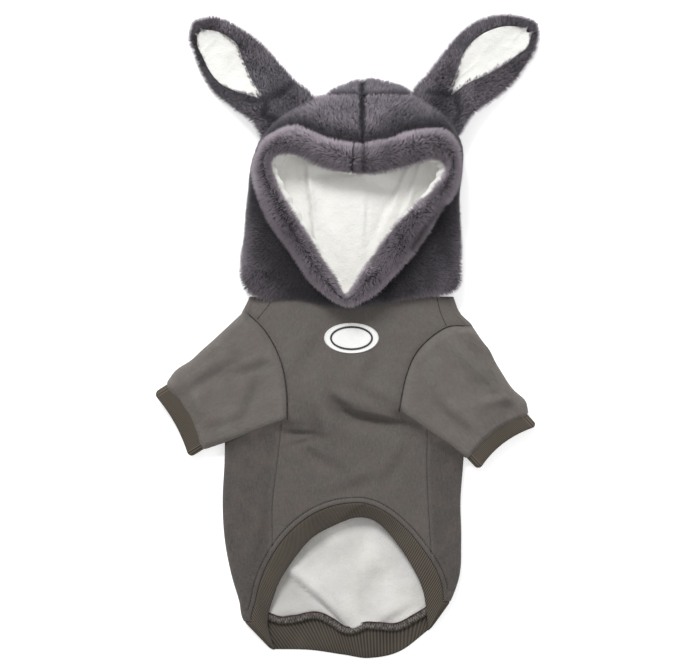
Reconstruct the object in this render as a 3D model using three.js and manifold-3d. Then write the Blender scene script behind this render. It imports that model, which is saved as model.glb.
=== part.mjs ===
// A hooded short-sleeved pullover for a small dog, lying on its back with the belly side up.
// Millimetres. +Y runs to the hood, +X to the viewer's right, +Z up, with the neck seam at y = 0.

import * as THREE from 'three';
import { mergeVertices } from 'three/addons/utils/BufferGeometryUtils.js';
import Module from 'manifold-3d';

const wasm = await Module();
wasm.setup();

// Body
const bodyWidth = 222; // flat, from side fold to side fold
const bodyLength = 305; // from the neck seam to the end of the knit on the back
const bodyHeight = 25; // how high the belly stands as it lies
const bodyFold = 7; // radius of the side folds
const bodyDome = 4; // power of the belly's rise: the higher, the flatter its top
const bodyWall = 1.6; // sweatshirt knit
const neckTuck = 15; // how far the body's neck reaches up inside the hood
const fleeceWall = 1.2; // brushed lining inside the hem
const fleeceDepth = 102; // how far up from the hem the lining shows and is built, on the back

// Hem rib
const ribWall = 3.1; // doubled rib
const ribHeight = 14; // how high the rib's belly edge stands

// Sleeves
const sleeveLength = 86; // armhole chord to cuff seam
const sleeveHeight = 27; // at the armhole
const sleeveMouth = 71; // flat width at the cuff seam
const mouthHeight = 16;
const sleeveWall = 1.8;
const sleeveFold = 7.5; // radius of the sleeve's side folds
const sleeveDrop = { from: 0.45, to: 0.85 }; // where it comes down to the floor, as shares
const cuffDepth = 17.5;
const cuffHeight = 14;
const cuffWall = 2.8;

// Hood
const hoodWidth = 201;
const hoodLength = 209;
const hoodSide = 16; // height of the hood's widest line
const hoodSeamHeight = 36; // where the brim is sewn on
const hoodWall = 3.2; // backing and short fur
const brimThickness = 16; // padded and furry
const plushWall = 2.2; // white lining
const crownLine = 0.427; // the crown seam, as a share of the hood's length over its middle
const foreheadLine = 0.17; // the lower end of the forehead panels, as such a share
const middleSeam = 0.045; // the seam down the hood's middle, as a share of its width
const liningTuck = 0.35; // how far the lining reaches under the brim, as a share of its width
const liningBulge = 0.45; // how far it stays inside the hood's widest line, as a share

// Ears
const earLength = 125;
const earWidth = 65;
const earThickness = 10;
const earRoot = 15; // height of the ear's underside where it is sewn on
const earPlush = 1.8;
const earDrop = { from: 0.05, to: 0.6 }; // where the ear comes down to the floor, as shares
const earBulge = 0.6; // under 1 the ear's edges are full, over 1 they are thin

// Chest patch
const patchWidth = 49.5;
const patchHeight = 27.7;
const patchThickness = 1.3;
const patchRingWidth = 1.7;
const patchRingInset = 5; // from the patch's edge to the ring
const patchRingThickness = 0.5;

const clearance = 0.3; // between pieces that touch

// Tables: a row for each section, with lengths as shares of the sizes above.

// Across shares are of the body's width from its middle, along shares of its length from the neck.
const bodySections = rowsOf(['along', 'left', 'right', 'crown'], [
  [-0.05, 0.33, 0.37, 0.9],
  [0.0, 0.36, 0.41, 0.94],
  [0.04, 0.41, 0.475, 0.96],
  [0.1, 0.455, 0.52, 0.98],
  [0.2, 0.485, 0.524, 1.0],
  [0.33, 0.496, 0.509, 1.0],
  [0.49, 0.499, 0.499, 1.0],
  [0.61, 0.507, 0.487, 0.96],
  [0.73, 0.498, 0.49, 0.88],
  [0.85, 0.465, 0.479, 0.8],
  [0.915, 0.438, 0.446, 0.76],
  [0.976, 0.406, 0.4, 0.72],
  [1.0, 0.392, 0.38, 0.7],
]);

// Soft folds in the belly. Size and spread are shares of the body's width, depth of its height.
const bellyFolds = rowsOf(['across', 'along', 'angle', 'length', 'spread', 'depth'], [
  [0.085, 0.355, -22, 0.14, 0.04, 0.16],
  [-0.035, 0.3, -48, 0.09, 0.035, 0.12],
  [-0.13, 0.41, -68, 0.11, 0.05, 0.22],
  [-0.06, 0.345, -60, 0.1, 0.05, -0.12],
  [-0.19, 0.385, 3, 0.08, 0.03, 0.12],
  [0.3, 0.6, 84, 0.16, 0.05, 0.08],
  [-0.38, 0.55, 95, 0.16, 0.05, 0.1],
]);

// The hem's knit edge: a belly arch with its top off the middle, and a back that hangs lower.
const hemArch = { top: 0.576, along: 0.613, leftBend: 2.3, rightBend: 1.9 };
const hemSides = { left: 0.976, right: 0.915, backDrop: 0.055 };

// The rib's free edge, belly and back, by share of the way from the left fold to the right one.
const ribEdgeFront = rowsOf(['share', 'across', 'along'], [
  [0.0, -0.289, 1.064],
  [0.06, -0.318, 0.985],
  [0.14, -0.285, 0.885],
  [0.25, -0.226, 0.805],
  [0.37, -0.138, 0.726],
  [0.48, -0.05, 0.688],
  [0.576, 0.05, 0.661],
  [0.67, 0.13, 0.672],
  [0.76, 0.2, 0.72],
  [0.84, 0.268, 0.79],
  [0.92, 0.33, 0.885],
  [1.0, 0.352, 1.006],
]);
const ribEdgeBack = rowsOf(['share', 'across', 'along'], [
  [0.0, -0.289, 1.064],
  [0.2, -0.15, 1.066],
  [0.45, 0.0, 1.081],
  [0.65, 0.11, 1.091],
  [0.85, 0.245, 1.066],
  [1.0, 0.352, 1.006],
]);

const armholes = {
  left: {
    side: -1,
    angle: 212,
    skew: -3,
    reach: 1.01,
    seamBow: 0.06,
    curve: rowsOf(['across', 'along'], [
      [-0.419, 0.037],
      [-0.33, 0.096],
      [-0.27, 0.17],
      [-0.24, 0.26],
      [-0.234, 0.369],
    ]),
  },
  right: {
    side: 1,
    angle: -47,
    skew: -6,
    reach: 0.96,
    seamBow: 0.1,
    curve: rowsOf(['across', 'along'], [
      [0.55, 0.085],
      [0.42, 0.085],
      [0.315, 0.146],
      [0.26, 0.225],
      [0.226, 0.344],
    ]),
  },
};

// The hood seen from above: its outer edge, the brim's seam and the mouth, going round from the
// point at the throat by the left side. Across and up are shares of the hood's width and length.
const hoodStations = rowsOf(['edgeX', 'edgeY', 'seamX', 'seamY', 'mouthX', 'mouthY'], [
  [-0.028, -0.507, -0.028, -0.49, -0.028, -0.448],
  [-0.24, -0.48, -0.171, -0.4, -0.088, -0.364],
  [-0.417, -0.462, -0.269, -0.271, -0.153, -0.267],
  [-0.505, -0.391, -0.356, -0.156, -0.227, -0.16],
  [-0.491, -0.178, -0.412, -0.044, -0.296, -0.053],
  [-0.477, 0.0, -0.447, 0.071, -0.352, 0.049],
  [-0.454, 0.142, -0.436, 0.16, -0.375, 0.133],
  [-0.398, 0.271, -0.379, 0.245, -0.333, 0.169],
  [-0.282, 0.373, -0.259, 0.284, -0.241, 0.164],
  [-0.125, 0.436, -0.106, 0.227, -0.125, 0.111],
  [0.037, 0.498, 0.046, 0.209, 0.028, 0.08],
  [0.19, 0.48, 0.208, 0.244, 0.167, 0.098],
  [0.343, 0.409, 0.338, 0.276, 0.278, 0.124],
  [0.444, 0.324, 0.43, 0.262, 0.361, 0.151],
  [0.505, 0.2, 0.486, 0.178, 0.426, 0.129],
  [0.491, 0.022, 0.478, 0.031, 0.412, 0.067],
  [0.495, -0.156, 0.407, -0.076, 0.333, -0.018],
  [0.495, -0.298, 0.319, -0.204, 0.222, -0.116],
  [0.477, -0.422, 0.231, -0.316, 0.139, -0.218],
  [0.269, -0.467, 0.097, -0.44, 0.046, -0.351],
]);
const hoodMiddle = { across: 0.034, up: 0.468 }; // from the neck seam's middle

// The hood's outer skin from the floor to the brim seam: how far in from the edge, and how high.
const hoodProfile = rowsOf(['in', 'height'], [
  [0.0, 0.0],
  [0.5, 0.16],
  [1.0, 0.44],
  [0.86, 0.68],
  [0.6, 0.86],
  [0.3, 0.96],
  [0.0, 1.0],
]);

// The brim's section, from the seam to the mouth: how far in, and how high in its thickness.
const brimProfile = rowsOf(['in', 'height'], [
  [0.0, 0.0],
  [0.0, 0.3],
  [0.2, 0.82],
  [0.6, 1.0],
  [1.0, 0.6],
  [0.85, 0.0],
]);

const ears = {
  left: {
    across: -0.296,
    up: 0.333,
    angle: 135,
    outline: rowsOf(['along', 'offset', 'half'], [
      [-0.12, 0.0, 0.48],
      [0.154, 0.03, 0.43],
      [0.351, 0.02, 0.47],
      [0.547, 0.01, 0.486],
      [0.696, 0.03, 0.43],
      [0.85, 0.06, 0.3],
      [0.947, 0.06, 0.16],
      [0.99, 0.06, 0.03],
    ]),
    plush: rowsOf(['along', 'offset', 'half'], [
      [0.277, -0.06, 0.02],
      [0.414, -0.1, 0.13],
      [0.542, -0.09, 0.22],
      [0.67, -0.03, 0.257],
      [0.776, -0.02, 0.214],
      [0.866, -0.04, 0.13],
      [0.925, -0.04, 0.03],
    ]),
  },
  right: {
    across: 0.384,
    up: 0.347,
    angle: 43.5,
    outline: rowsOf(['along', 'offset', 'half'], [
      [-0.12, 0.0, 0.45],
      [0.193, -0.08, 0.443],
      [0.392, -0.09, 0.5],
      [0.596, -0.1, 0.52],
      [0.775, -0.08, 0.443],
      [0.922, -0.026, 0.27],
      [0.98, 0.0, 0.13],
      [1.0, 0.0, 0.03],
    ]),
    plush: rowsOf(['along', 'offset', 'half'], [
      [0.208, -0.09, 0.02],
      [0.339, -0.13, 0.1],
      [0.449, -0.15, 0.193],
      [0.579, -0.14, 0.25],
      [0.753, -0.08, 0.24],
      [0.859, -0.01, 0.18],
      [0.935, 0.03, 0.04],
    ]),
  },
};

const patchPlace = { across: 0.031, along: 0.116 };

// How finely each piece is meshed
const bodyRing = ringOf(10, 18, 2);
const sleeveRing = ringOf(6, 8, 2);
const bodyRows = 15;
const ribRows = 3;
const sleeveRows = 7;
const stationSteps = 2;
const earRows = 12;
const earSides = 12;
const earPlushRows = 8;
const patchSteps = 28;

// Small helpers

function rowsOf(names, rows) {
  return rows.map((row) => Object.fromEntries(names.map((name, i) => [name, row[i]])));
}

function smoothRows(rows) {
  const names = Object.keys(rows[0]);
  const at = rows.map((row) => row[names[0]]);
  const values = rows.flatMap((row) => names.map((name) => row[name]));
  const curve = new THREE.CubicInterpolant(at, values, names.length);
  return (t) => {
    const found = curve.evaluate(THREE.MathUtils.clamp(t, at[0], at[at.length - 1]));
    return Object.fromEntries(names.map((name, i) => [name, found[i]]));
  };
}

const lerp = THREE.MathUtils.lerp;
const smoothstep = THREE.MathUtils.smoothstep;
const radians = THREE.MathUtils.degToRad;
const shares = (steps) => Array.from({ length: steps + 1 }, (_, i) => i / steps);

// The points of a flat tube's section, from the left fold along the floor to the right fold and
// back over the top. A quarter turn of each fold has foldSteps.
function ringOf(floorSteps, topSteps, foldSteps) {
  const ring = [];
  const quarter = (from, flat) => {
    for (let i = 0; i < foldSteps; i++) {
      ring.push({ flat, turn: (from + i / foldSteps) * Math.PI / 2 });
    }
  };
  quarter(2, 0);
  for (let i = 0; i < floorSteps; i++) ring.push({ flat: i / floorSteps, turn: -Math.PI / 2 });
  quarter(-1, 1);
  quarter(0, 1);
  for (let i = 0; i < topSteps; i++) ring.push({ flat: 1 - i / topSteps, turn: Math.PI / 2 });
  quarter(1, 0);
  ring.rightFold = 2 * foldSteps + floorSteps;
  return ring;
}

// Meshing

function sides(faces, first, rows, count, flipped) {
  for (let r = 0; r < rows - 1; r++) {
    for (let i = 0; i < count; i++) {
      const a = first + r * count + i;
      const b = first + r * count + (i + 1) % count;
      const quad = [a, b, b + count, a, b + count, a + count];
      faces.push(...(flipped ? quad.reverse() : quad));
    }
  }
}

function signedVolume(points, faces) {
  let volume = 0;
  const cross = new THREE.Vector3();
  for (let i = 0; i < faces.length; i += 3) {
    cross.crossVectors(points[faces[i + 1]], points[faces[i + 2]]);
    volume += points[faces[i]].dot(cross);
  }
  return volume;
}

function solidOf(points, faces) {
  if (signedVolume(points, faces) < 0) faces.reverse();
  const mesh = new wasm.Mesh({
    numProp: 3,
    vertProperties: new Float32Array(points.flatMap((p) => [p.x, p.y, p.z])),
    triVerts: new Uint32Array(faces),
  });
  return new wasm.Manifold(mesh);
}

// A wall between an outer and an inner set of loops, open at both ends.
function wallOf(outer, inner) {
  const count = outer[0].length;
  const faces = [];
  const second = outer.length * count;
  sides(faces, 0, outer.length, count, false);
  sides(faces, second, inner.length, count, true);
  const lastOuter = (outer.length - 1) * count;
  const lastInner = second + (inner.length - 1) * count;
  for (let i = 0; i < count; i++) {
    const next = (i + 1) % count;
    faces.push(i, second + i, second + next, i, second + next, next);
    faces.push(lastOuter + i, lastOuter + next, lastInner + next);
    faces.push(lastOuter + i, lastInner + next, lastInner + i);
  }
  return solidOf([...outer.flat(), ...inner.flat()], faces);
}

// A solid through loops, with its ends closed between the floor and the top of each end loop.
function flatSolid(loops, rightFold) {
  const count = loops[0].length;
  const faces = [];
  sides(faces, 0, loops.length, count, false);
  const close = (first, flipped) => {
    let low = 0;
    let high = count;
    while (low < rightFold || high > rightFold) {
      const lowLeft = rightFold - low;
      const highLeft = high - rightFold;
      const takeLow = lowLeft / rightFold >= highLeft / (count - rightFold);
      const third = takeLow ? low + 1 : high - 1;
      const face = [first + low, first + third, first + high % count];
      if (new Set(face).size === 3) faces.push(...(flipped ? face.reverse() : face));
      if (takeLow) low++;
      else high--;
    }
  };
  close(0, true);
  close((loops.length - 1) * count, false);
  return solidOf(loops.flat(), faces);
}

// A solid through loops, with each end closed by a fan round its middle.
function roundSolid(loops) {
  const count = loops[0].length;
  const points = loops.flat();
  const faces = [];
  sides(faces, 0, loops.length, count, false);
  const close = (loop, first, flipped) => {
    const middle = loop.reduce((sum, p) => sum.add(p), new THREE.Vector3()).divideScalar(count);
    const hub = points.push(middle) - 1;
    for (let i = 0; i < count; i++) {
      const face = [first + i, hub, first + (i + 1) % count];
      faces.push(...(flipped ? face.reverse() : face));
    }
  };
  close(loops[0], 0, false);
  close(loops[loops.length - 1], (loops.length - 1) * count, true);
  return solidOf(points, faces);
}

// A closed ring through loops that come back to the first one.
function bandSolid(loops) {
  const count = loops[0].length;
  const faces = [];
  sides(faces, 0, loops.length, count, false);
  const last = (loops.length - 1) * count;
  for (let i = 0; i < count; i++) {
    const next = (i + 1) % count;
    faces.push(last + i, last + next, next, last + i, next, i);
  }
  return solidOf(loops.flat(), faces);
}

function box(from, to) {
  const size = new THREE.Vector3().subVectors(to, from);
  const geometry = new THREE.BoxGeometry(size.x, size.y, size.z);
  geometry.translate(from.x + size.x / 2, from.y + size.y / 2, from.z + size.z / 2);
  geometry.deleteAttribute('normal');
  geometry.deleteAttribute('uv');
  const merged = mergeVertices(geometry);
  return new wasm.Manifold(new wasm.Mesh({
    numProp: 3,
    vertProperties: new Float32Array(merged.attributes.position.array),
    triVerts: new Uint32Array(merged.index.array),
  }));
}

// Body

const sectionAt = smoothRows(bodySections);

function foldDepth(x, y) {
  return bellyFolds.reduce((sum, fold) => {
    const dx = x - fold.across * bodyWidth;
    const dy = y + fold.along * bodyLength;
    const turn = radians(fold.angle);
    const down = (dx * Math.cos(turn) + dy * Math.sin(turn)) / (fold.length * bodyWidth);
    const aside = (dy * Math.cos(turn) - dx * Math.sin(turn)) / (fold.spread * bodyWidth);
    return sum + fold.depth * bodyHeight * Math.exp(-down * down - aside * aside);
  }, 0);
}

function bodyEdges(along) {
  const { left, right, crown } = sectionAt(along);
  return { left: -left * bodyWidth, right: right * bodyWidth, crown: crown * bodyHeight };
}

function bodyPoint(spot, along, inset) {
  const { left, right, crown } = bodyEdges(along);
  const across = lerp(left + bodyFold, right - bodyFold, spot.flat);
  const x = across + (bodyFold - inset) * Math.cos(spot.turn);
  const y = -along * bodyLength;
  let z = bodyFold + (bodyFold - inset) * Math.sin(spot.turn);
  if (spot.turn === Math.PI / 2) {
    const dome = 1 - (2 * spot.flat - 1) ** bodyDome;
    z += dome * (crown - 2 * bodyFold - foldDepth(x, y));
  }
  return new THREE.Vector3(x, y, z);
}

function bodyTop(x, y) {
  const { left, right, crown } = bodyEdges(-y / bodyLength);
  const flat = THREE.MathUtils.clamp(
    (x - left - bodyFold) / (right - left - 2 * bodyFold), 0, 1);
  const dome = 1 - (2 * flat - 1) ** bodyDome;
  return 2 * bodyFold + dome * (crown - 2 * bodyFold - foldDepth(x, y));
}

function hemAlong(spot) {
  const straight = lerp(hemSides.left, hemSides.right, spot.flat);
  if (Math.sin(spot.turn) < 0) {
    return straight + hemSides.backDrop * (1 - (2 * spot.flat - 1) ** 2);
  }
  const onLeft = spot.flat < hemArch.top;
  const reach = onLeft ? hemArch.top : 1 - hemArch.top;
  const side = onLeft ? hemSides.left : hemSides.right;
  const bend = onLeft ? hemArch.leftBend : hemArch.rightBend;
  const out = Math.abs(spot.flat - hemArch.top) / reach;
  return lerp(hemArch.along, side, out ** bend);
}

const neckAlong = -neckTuck / bodyLength;

function bodyLoops(inset, start = neckAlong) {
  return shares(bodyRows).map((v) => bodyRing.map(
    (spot) => bodyPoint(spot, lerp(start, hemAlong(spot), v), inset)));
}

function bodySolid(grow) {
  return flatSolid(bodyLoops(-grow, neckAlong - grow / bodyLength), bodyRing.rightFold);
}

// Sleeves

function sleevePlan(armhole) {
  const seam = new THREE.CatmullRomCurve3(armhole.curve.map((row) => new THREE.Vector3(
    row.across * bodyWidth, -row.along * bodyLength, 0)));
  const top = seam.getPoint(0);
  const bottom = seam.getPoint(1);
  const way = radians(armhole.angle);
  const forward = new THREE.Vector3(Math.cos(way), Math.sin(way), 0);
  const lineTurn = radians(armhole.angle - 90 * armhole.side + armhole.skew);
  const line = new THREE.Vector3(Math.cos(lineTurn), Math.sin(lineTurn), 0);
  const middle = top.clone().add(bottom).multiplyScalar(0.5);
  const mouth = middle.addScaledVector(forward, sleeveLength * armhole.reach);
  const mouthTop = mouth.clone().addScaledVector(line, -sleeveMouth / 2);
  const mouthBottom = mouth.clone().addScaledVector(line, sleeveMouth / 2);
  const mouthAt = (a) => mouthTop.clone().lerp(mouthBottom, a)
    .addScaledVector(forward, -armhole.seamBow * sleeveMouth * 4 * a * (1 - a));
  const plan = (a, b) => {
    const inA = THREE.MathUtils.clamp(a, 0, 1);
    const edges = top.clone().lerp(mouthTop, b).multiplyScalar(1 - a)
      .addScaledVector(bottom.clone().lerp(mouthBottom, b), a);
    const ends = seam.getPoint(inA).multiplyScalar(1 - b).addScaledVector(mouthAt(a), b);
    const corners = top.clone().lerp(bottom, a).multiplyScalar(1 - b)
      .addScaledVector(mouthTop.clone().lerp(mouthBottom, a), b);
    return edges.add(ends).sub(corners);
  };
  return { plan, mouthAt, forward };
}

function tubePoint(place, width, spot, fold, low, high, inset) {
  const across = fold + spot.flat * (width - 2 * fold) + (fold - inset) * Math.cos(spot.turn);
  const point = place(across / width);
  const floor = low(point);
  const top = high(point);
  const middle = (floor + top) / 2;
  point.z = middle + ((top - floor) / 2 - inset) * Math.sin(spot.turn);
  return point;
}

function sleeveLoop({ plan }, b, inset) {
  const width = plan(0, b).distanceTo(plan(1, b));
  const low = () => bodyFold * (1 - smoothstep(b, sleeveDrop.from, sleeveDrop.to));
  const high = (p) => {
    const { left, right } = bodyEdges(-p.y / bodyLength);
    const own = lerp(sleeveHeight, mouthHeight, Math.min(b, 1));
    const overBody = p.x > left && p.x < right;
    return overBody ? Math.max(own, bodyTop(p.x, p.y) + sleeveWall + 2 * clearance) : own;
  };
  return sleeveRing.map((spot) => tubePoint(
    (a) => plan(a, b), width, spot, sleeveFold, low, high, inset));
}

function sleeveSolid(sleeve, inset, from, to) {
  const loops = shares(sleeveRows).map((v) => sleeveLoop(sleeve, lerp(from, to, v), inset));
  return flatSolid(loops, sleeveRing.rightFold);
}

function cuffSolid({ mouthAt, forward }) {
  const width = mouthAt(0).distanceTo(mouthAt(1));
  const fold = Math.min(sleeveFold, cuffHeight / 2);
  const loops = (inset) => shares(2).map((c) => sleeveRing.map((spot) => tubePoint(
    (a) => mouthAt(a).addScaledVector(forward, clearance + c * cuffDepth),
    width, spot, fold, () => 0, () => cuffHeight, inset)));
  return wallOf(loops(0), loops(cuffWall));
}

// Hem rib

const ribFrontAt = smoothRows(ribEdgeFront);
const ribBackAt = smoothRows(ribEdgeBack);

function ribPoint(spot, share, inset) {
  const gap = clearance / bodyLength;
  const seam = bodyPoint(spot, hemAlong(spot) + gap, inset);
  const onTop = Math.sin(spot.turn) >= 0;
  const { across, along } = (onTop ? ribFrontAt : ribBackAt)(spot.flat);
  const fold = ribHeight / 2;
  const edge = new THREE.Vector3(across * bodyWidth, -along * bodyLength,
    fold + (fold - inset) * Math.sin(spot.turn));
  edge.x += (fold - inset) * Math.cos(spot.turn);
  return seam.lerp(edge, share);
}

function ribSolid() {
  const loops = (inset) => shares(ribRows).map((share) => bodyRing.map(
    (spot) => ribPoint(spot, share, inset)));
  return wallOf(loops(0), loops(ribWall));
}

// Hood

const hoodX = hoodMiddle.across * bodyWidth;
const hoodY = hoodMiddle.up * hoodLength;

function hoodOutline(column) {
  const curve = new THREE.CatmullRomCurve3(hoodStations.map((row) => new THREE.Vector3(
    hoodX + row[`${column}X`] * hoodWidth, hoodY + row[`${column}Y`] * hoodLength, 0)), true);
  const count = hoodStations.length * stationSteps;
  return Array.from({ length: count }, (_, i) => curve.getPoint(i / count));
}

// Draws an outline in towards the hood's middle, by about a distance all round.
function drawnIn(outline, distance) {
  const share = 2 * distance / hoodWidth;
  return outline.map((p) => p.clone().lerp(new THREE.Vector3(hoodX, hoodY, p.z), share));
}

const atHeight = (outline, z) => outline.map((p) => new THREE.Vector3(p.x, p.y, z));
const between = (a, b, share) => a.map((p, i) => p.clone().lerp(b[i], share));

const hoodEdge = hoodOutline('edge');
const hoodSeam = hoodOutline('seam');
const hoodMouth = hoodOutline('mouth');

// The loops of the hood's skin, moved in by inset: the foot, the widest line and the brim seam.
function hoodLoops(inset) {
  const edge = drawnIn(hoodEdge, inset);
  const seam = drawnIn(hoodSeam, inset);
  const foot = drawnIn(hoodEdge, hoodSide);
  const side = hoodProfile.findIndex((row) => row.in === 1);
  return hoodProfile.map((row, i) => {
    const plan = i <= side ? between(foot, edge, row.in) : between(seam, edge, row.in);
    const height = row.height * hoodSeamHeight;
    return atHeight(plan, height + inset * (i < side ? 1 : -1) * (i === side ? 0 : 1));
  });
}

// The space inside the hood's skin, open at the brim seam.
function hoodHollow(inset) {
  const loops = hoodLoops(inset);
  return roundSolid([...loops, atHeight(loops[loops.length - 1], hoodSeamHeight + inset)]);
}

function hoodShell() {
  return roundSolid(hoodLoops(0)).subtract(hoodHollow(hoodWall));
}

function brimSolid() {
  const low = hoodSeamHeight + clearance;
  return bandSolid(brimProfile.map((row) => atHeight(
    between(hoodSeam, hoodMouth, row.in), low + row.height * brimThickness)));
}

function hoodLining() {
  const floor = hoodWall + clearance;
  const rim = between(hoodMouth, hoodSeam, liningTuck);
  const under = hoodSeamHeight;
  const loops = (inset) => {
    const wide = drawnIn(hoodEdge, hoodSide + inset);
    return [
      atHeight(wide, floor + inset),
      atHeight(between(drawnIn(hoodEdge, floor + inset), wide, liningBulge), hoodSide),
      atHeight(drawnIn(rim, inset), under),
    ];
  };
  const hollow = loops(plushWall);
  hollow.push(atHeight(hollow[2], under + plushWall));
  return roundSolid(loops(0)).subtract(roundSolid(hollow))
    .intersect(hoodHollow(hoodWall + clearance));
}

// Ears

function earFrame(ear) {
  const turn = radians(ear.angle);
  const along = new THREE.Vector3(Math.cos(turn), Math.sin(turn), 0);
  const aside = new THREE.Vector3(along.y, -along.x, 0);
  const root = new THREE.Vector3(
    hoodX + ear.across * hoodWidth, hoodY + ear.up * hoodLength, 0);
  return { along, aside, root };
}

const earFloor = (share) => earRoot * (1 - smoothstep(share, earDrop.from, earDrop.to));

// A leaf-shaped pad through an outline's rows, its upper side domed, grown by a distance.
function leafSolid(ear, rows, steps, low, high, grow) {
  const { along, aside, root } = earFrame(ear);
  const rowAt = smoothRows(rows);
  const first = rows[0].along;
  const last = rows[rows.length - 1].along;
  const loops = shares(steps).map((v) => {
    const row = rowAt(lerp(first, last, v));
    const middle = root.clone().addScaledVector(along, row.along * earLength)
      .addScaledVector(aside, row.offset * earWidth);
    const half = row.half * earWidth + grow;
    return leafRing.map((turn) => {
      const point = middle.clone().addScaledVector(aside, half * Math.cos(turn));
      const rise = Math.sin(turn);
      const bulge = Math.sign(rise) * Math.abs(rise) ** earBulge;
      const floor = low(row.along) - grow;
      const top = high(row.along) + grow;
      point.z = lerp(floor, top, (bulge + 1) / 2);
      return point;
    });
  });
  return roundSolid(loops);
}

const leafRing = shares(earSides).slice(1).map((share) => share * 2 * Math.PI);
const earTop = (share) => earFloor(share) + earThickness;

function earSolid(ear, grow) {
  return leafSolid(ear, ear.outline, earRows, earFloor, earTop, grow);
}

function earLining(ear) {
  const middle = (share) => earFloor(share) + earThickness / 2;
  const above = (share) => earTop(share) + earThickness;
  const slab = leafSolid(ear, ear.plush, earPlushRows, middle, above, 0);
  return slab.intersect(earSolid(ear, clearance + earPlush)).subtract(earSolid(ear, clearance));
}

// Chest patch

function ovalSolid(width, height, low, high) {
  const x = patchPlace.across * bodyWidth;
  const y = -patchPlace.along * bodyLength;
  const loop = (scale, lift) => Array.from({ length: patchSteps }, (_, i) => {
    const turn = i / patchSteps * 2 * Math.PI;
    const px = x + scale * width / 2 * Math.cos(turn);
    const py = y + scale * height / 2 * Math.sin(turn);
    return new THREE.Vector3(px, py, bodyTop(px, py) + lift);
  });
  return roundSolid([loop(1, low), loop(1, high)]);
}

// The pieces

const bodySpace = bodySolid(clearance);
const sleevePlans = { left: sleevePlan(armholes.left), right: sleevePlan(armholes.right) };
const pieces = [];
const add = (name, solid, color, roughness) => pieces.push({ name, solid, color, roughness });

const knit = 0x6a655d;
const rib = 0x55514a;
const fur = 0x554e57;
const plush = 0xf1f0ec;
const fleece = 0xd9d8dc;

let bodyShell = wallOf(bodyLoops(0), bodyLoops(bodyWall));
for (const sleeve of Object.values(sleevePlans)) {
  bodyShell = bodyShell.subtract(sleeveSolid(sleeve, 0, 0, 1));
}
add('body_shell', bodyShell, knit, 0.9);

const fleeceOut = bodyWall + clearance;
const fleeceRow = Math.round(bodyRows * (1 - fleeceDepth / bodyLength));
add('body_lining', wallOf(
  bodyLoops(fleeceOut).slice(fleeceRow),
  bodyLoops(fleeceOut + fleeceWall).slice(fleeceRow)), fleece, 0.95);

add('hem_rib', ribSolid(), rib, 0.9);

for (const [side, sleeve] of Object.entries(sleevePlans)) {
  const hollowStart = sleeveWall / sleeveLength;
  const shell = sleeveSolid(sleeve, 0, 0, 1)
    .subtract(sleeveSolid(sleeve, sleeveWall, hollowStart, 1 + hollowStart))
    .subtract(bodySpace);
  add(`sleeve_${side}`, shell, knit, 0.9);
  add(`cuff_${side}`, cuffSolid(sleeve), rib, 0.9);
}

const far = 2 * (hoodWidth + hoodLength);
const seamX = hoodX + middleSeam * hoodWidth;
const crownY = hoodY + crownLine * hoodLength;
const foreheadY = hoodY + foreheadLine * hoodLength;
const foreheadZ = hoodSide + hoodWall;
const half = clearance / 2;
const region = (x0, x1, y0, y1, z0, z1) => box(
  new THREE.Vector3(x0, y0, z0), new THREE.Vector3(x1, y1, z1));
const shell = hoodShell().subtract(bodySpace);
const sideRegions = {
  left: [-far, seamX - half],
  right: [seamX + half, far],
};
for (const [side, [x0, x1]] of Object.entries(sideRegions)) {
  const whole = shell.intersect(region(x0, x1, -far, crownY - half, -far, far));
  const front = region(-far, far, foreheadY, far, foreheadZ, far);
  const rest = region(-far, far, foreheadY - clearance, far, foreheadZ - clearance, far);
  add(`forehead_${side}`, whole.intersect(front), fur, 1);
  add(`hood_${side}`, whole.subtract(rest), fur, 1);
}
add('crown', shell.intersect(region(-far, far, crownY + half, far, -far, far)), fur, 1);
add('brim', brimSolid(), fur, 1);
add('hood_lining', hoodLining().subtract(bodySpace), plush, 1);

const hoodBody = roundSolid(hoodLoops(-clearance));
for (const [side, ear] of Object.entries(ears)) {
  add(`ear_${side}`, earSolid(ear, 0).subtract(hoodBody), fur, 1);
  add(`ear_lining_${side}`, earLining(ear).subtract(hoodBody), plush, 1);
}

const patchTop = clearance + patchThickness;
add('chest_patch', ovalSolid(patchWidth, patchHeight, -bodyWall, patchTop).subtract(bodySpace),
  0xf4f4f2, 0.6);
const ringWidth = patchWidth - 2 * patchRingInset;
const ringHeight = patchHeight - 2 * patchRingInset * patchHeight / patchWidth;
const ringLow = patchTop + clearance;
const ringHigh = ringLow + patchRingThickness;
add('patch_ring', ovalSolid(ringWidth, ringHeight, ringLow, ringHigh).subtract(ovalSolid(
  ringWidth - 2 * patchRingWidth, ringHeight - 2 * patchRingWidth,
  ringLow - patchThickness, ringHigh + patchThickness)), 0x3c3c40, 0.6);

// The scene graph, with its origin under the middle of the garment

const group = new THREE.Group();
for (const { name, solid, color, roughness } of pieces) {
  const found = solid.getMesh();
  const geometry = new THREE.BufferGeometry();
  geometry.setAttribute('position', new THREE.BufferAttribute(found.vertProperties, 3));
  geometry.setIndex(new THREE.BufferAttribute(found.triVerts, 1));
  geometry.computeVertexNormals();
  const material = new THREE.MeshStandardMaterial({ color, roughness, metalness: 0 });
  const mesh = new THREE.Mesh(geometry, material);
  mesh.name = name;
  group.add(mesh);
}
const bounds = new THREE.Box3().setFromObject(group);
const centre = bounds.getCenter(new THREE.Vector3());
group.position.set(-centre.x, -centre.y, -bounds.min.z);

export default group;
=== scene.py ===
# A hooded short-sleeved pullover for a small dog, lying on its back: its cloth, fur and stitching.
# Metres. +Y runs to the hood, +X to the viewer's right, +Z up. Shapes are worked out from the neck
# seam's middle and then moved to where the frame has it.

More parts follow.
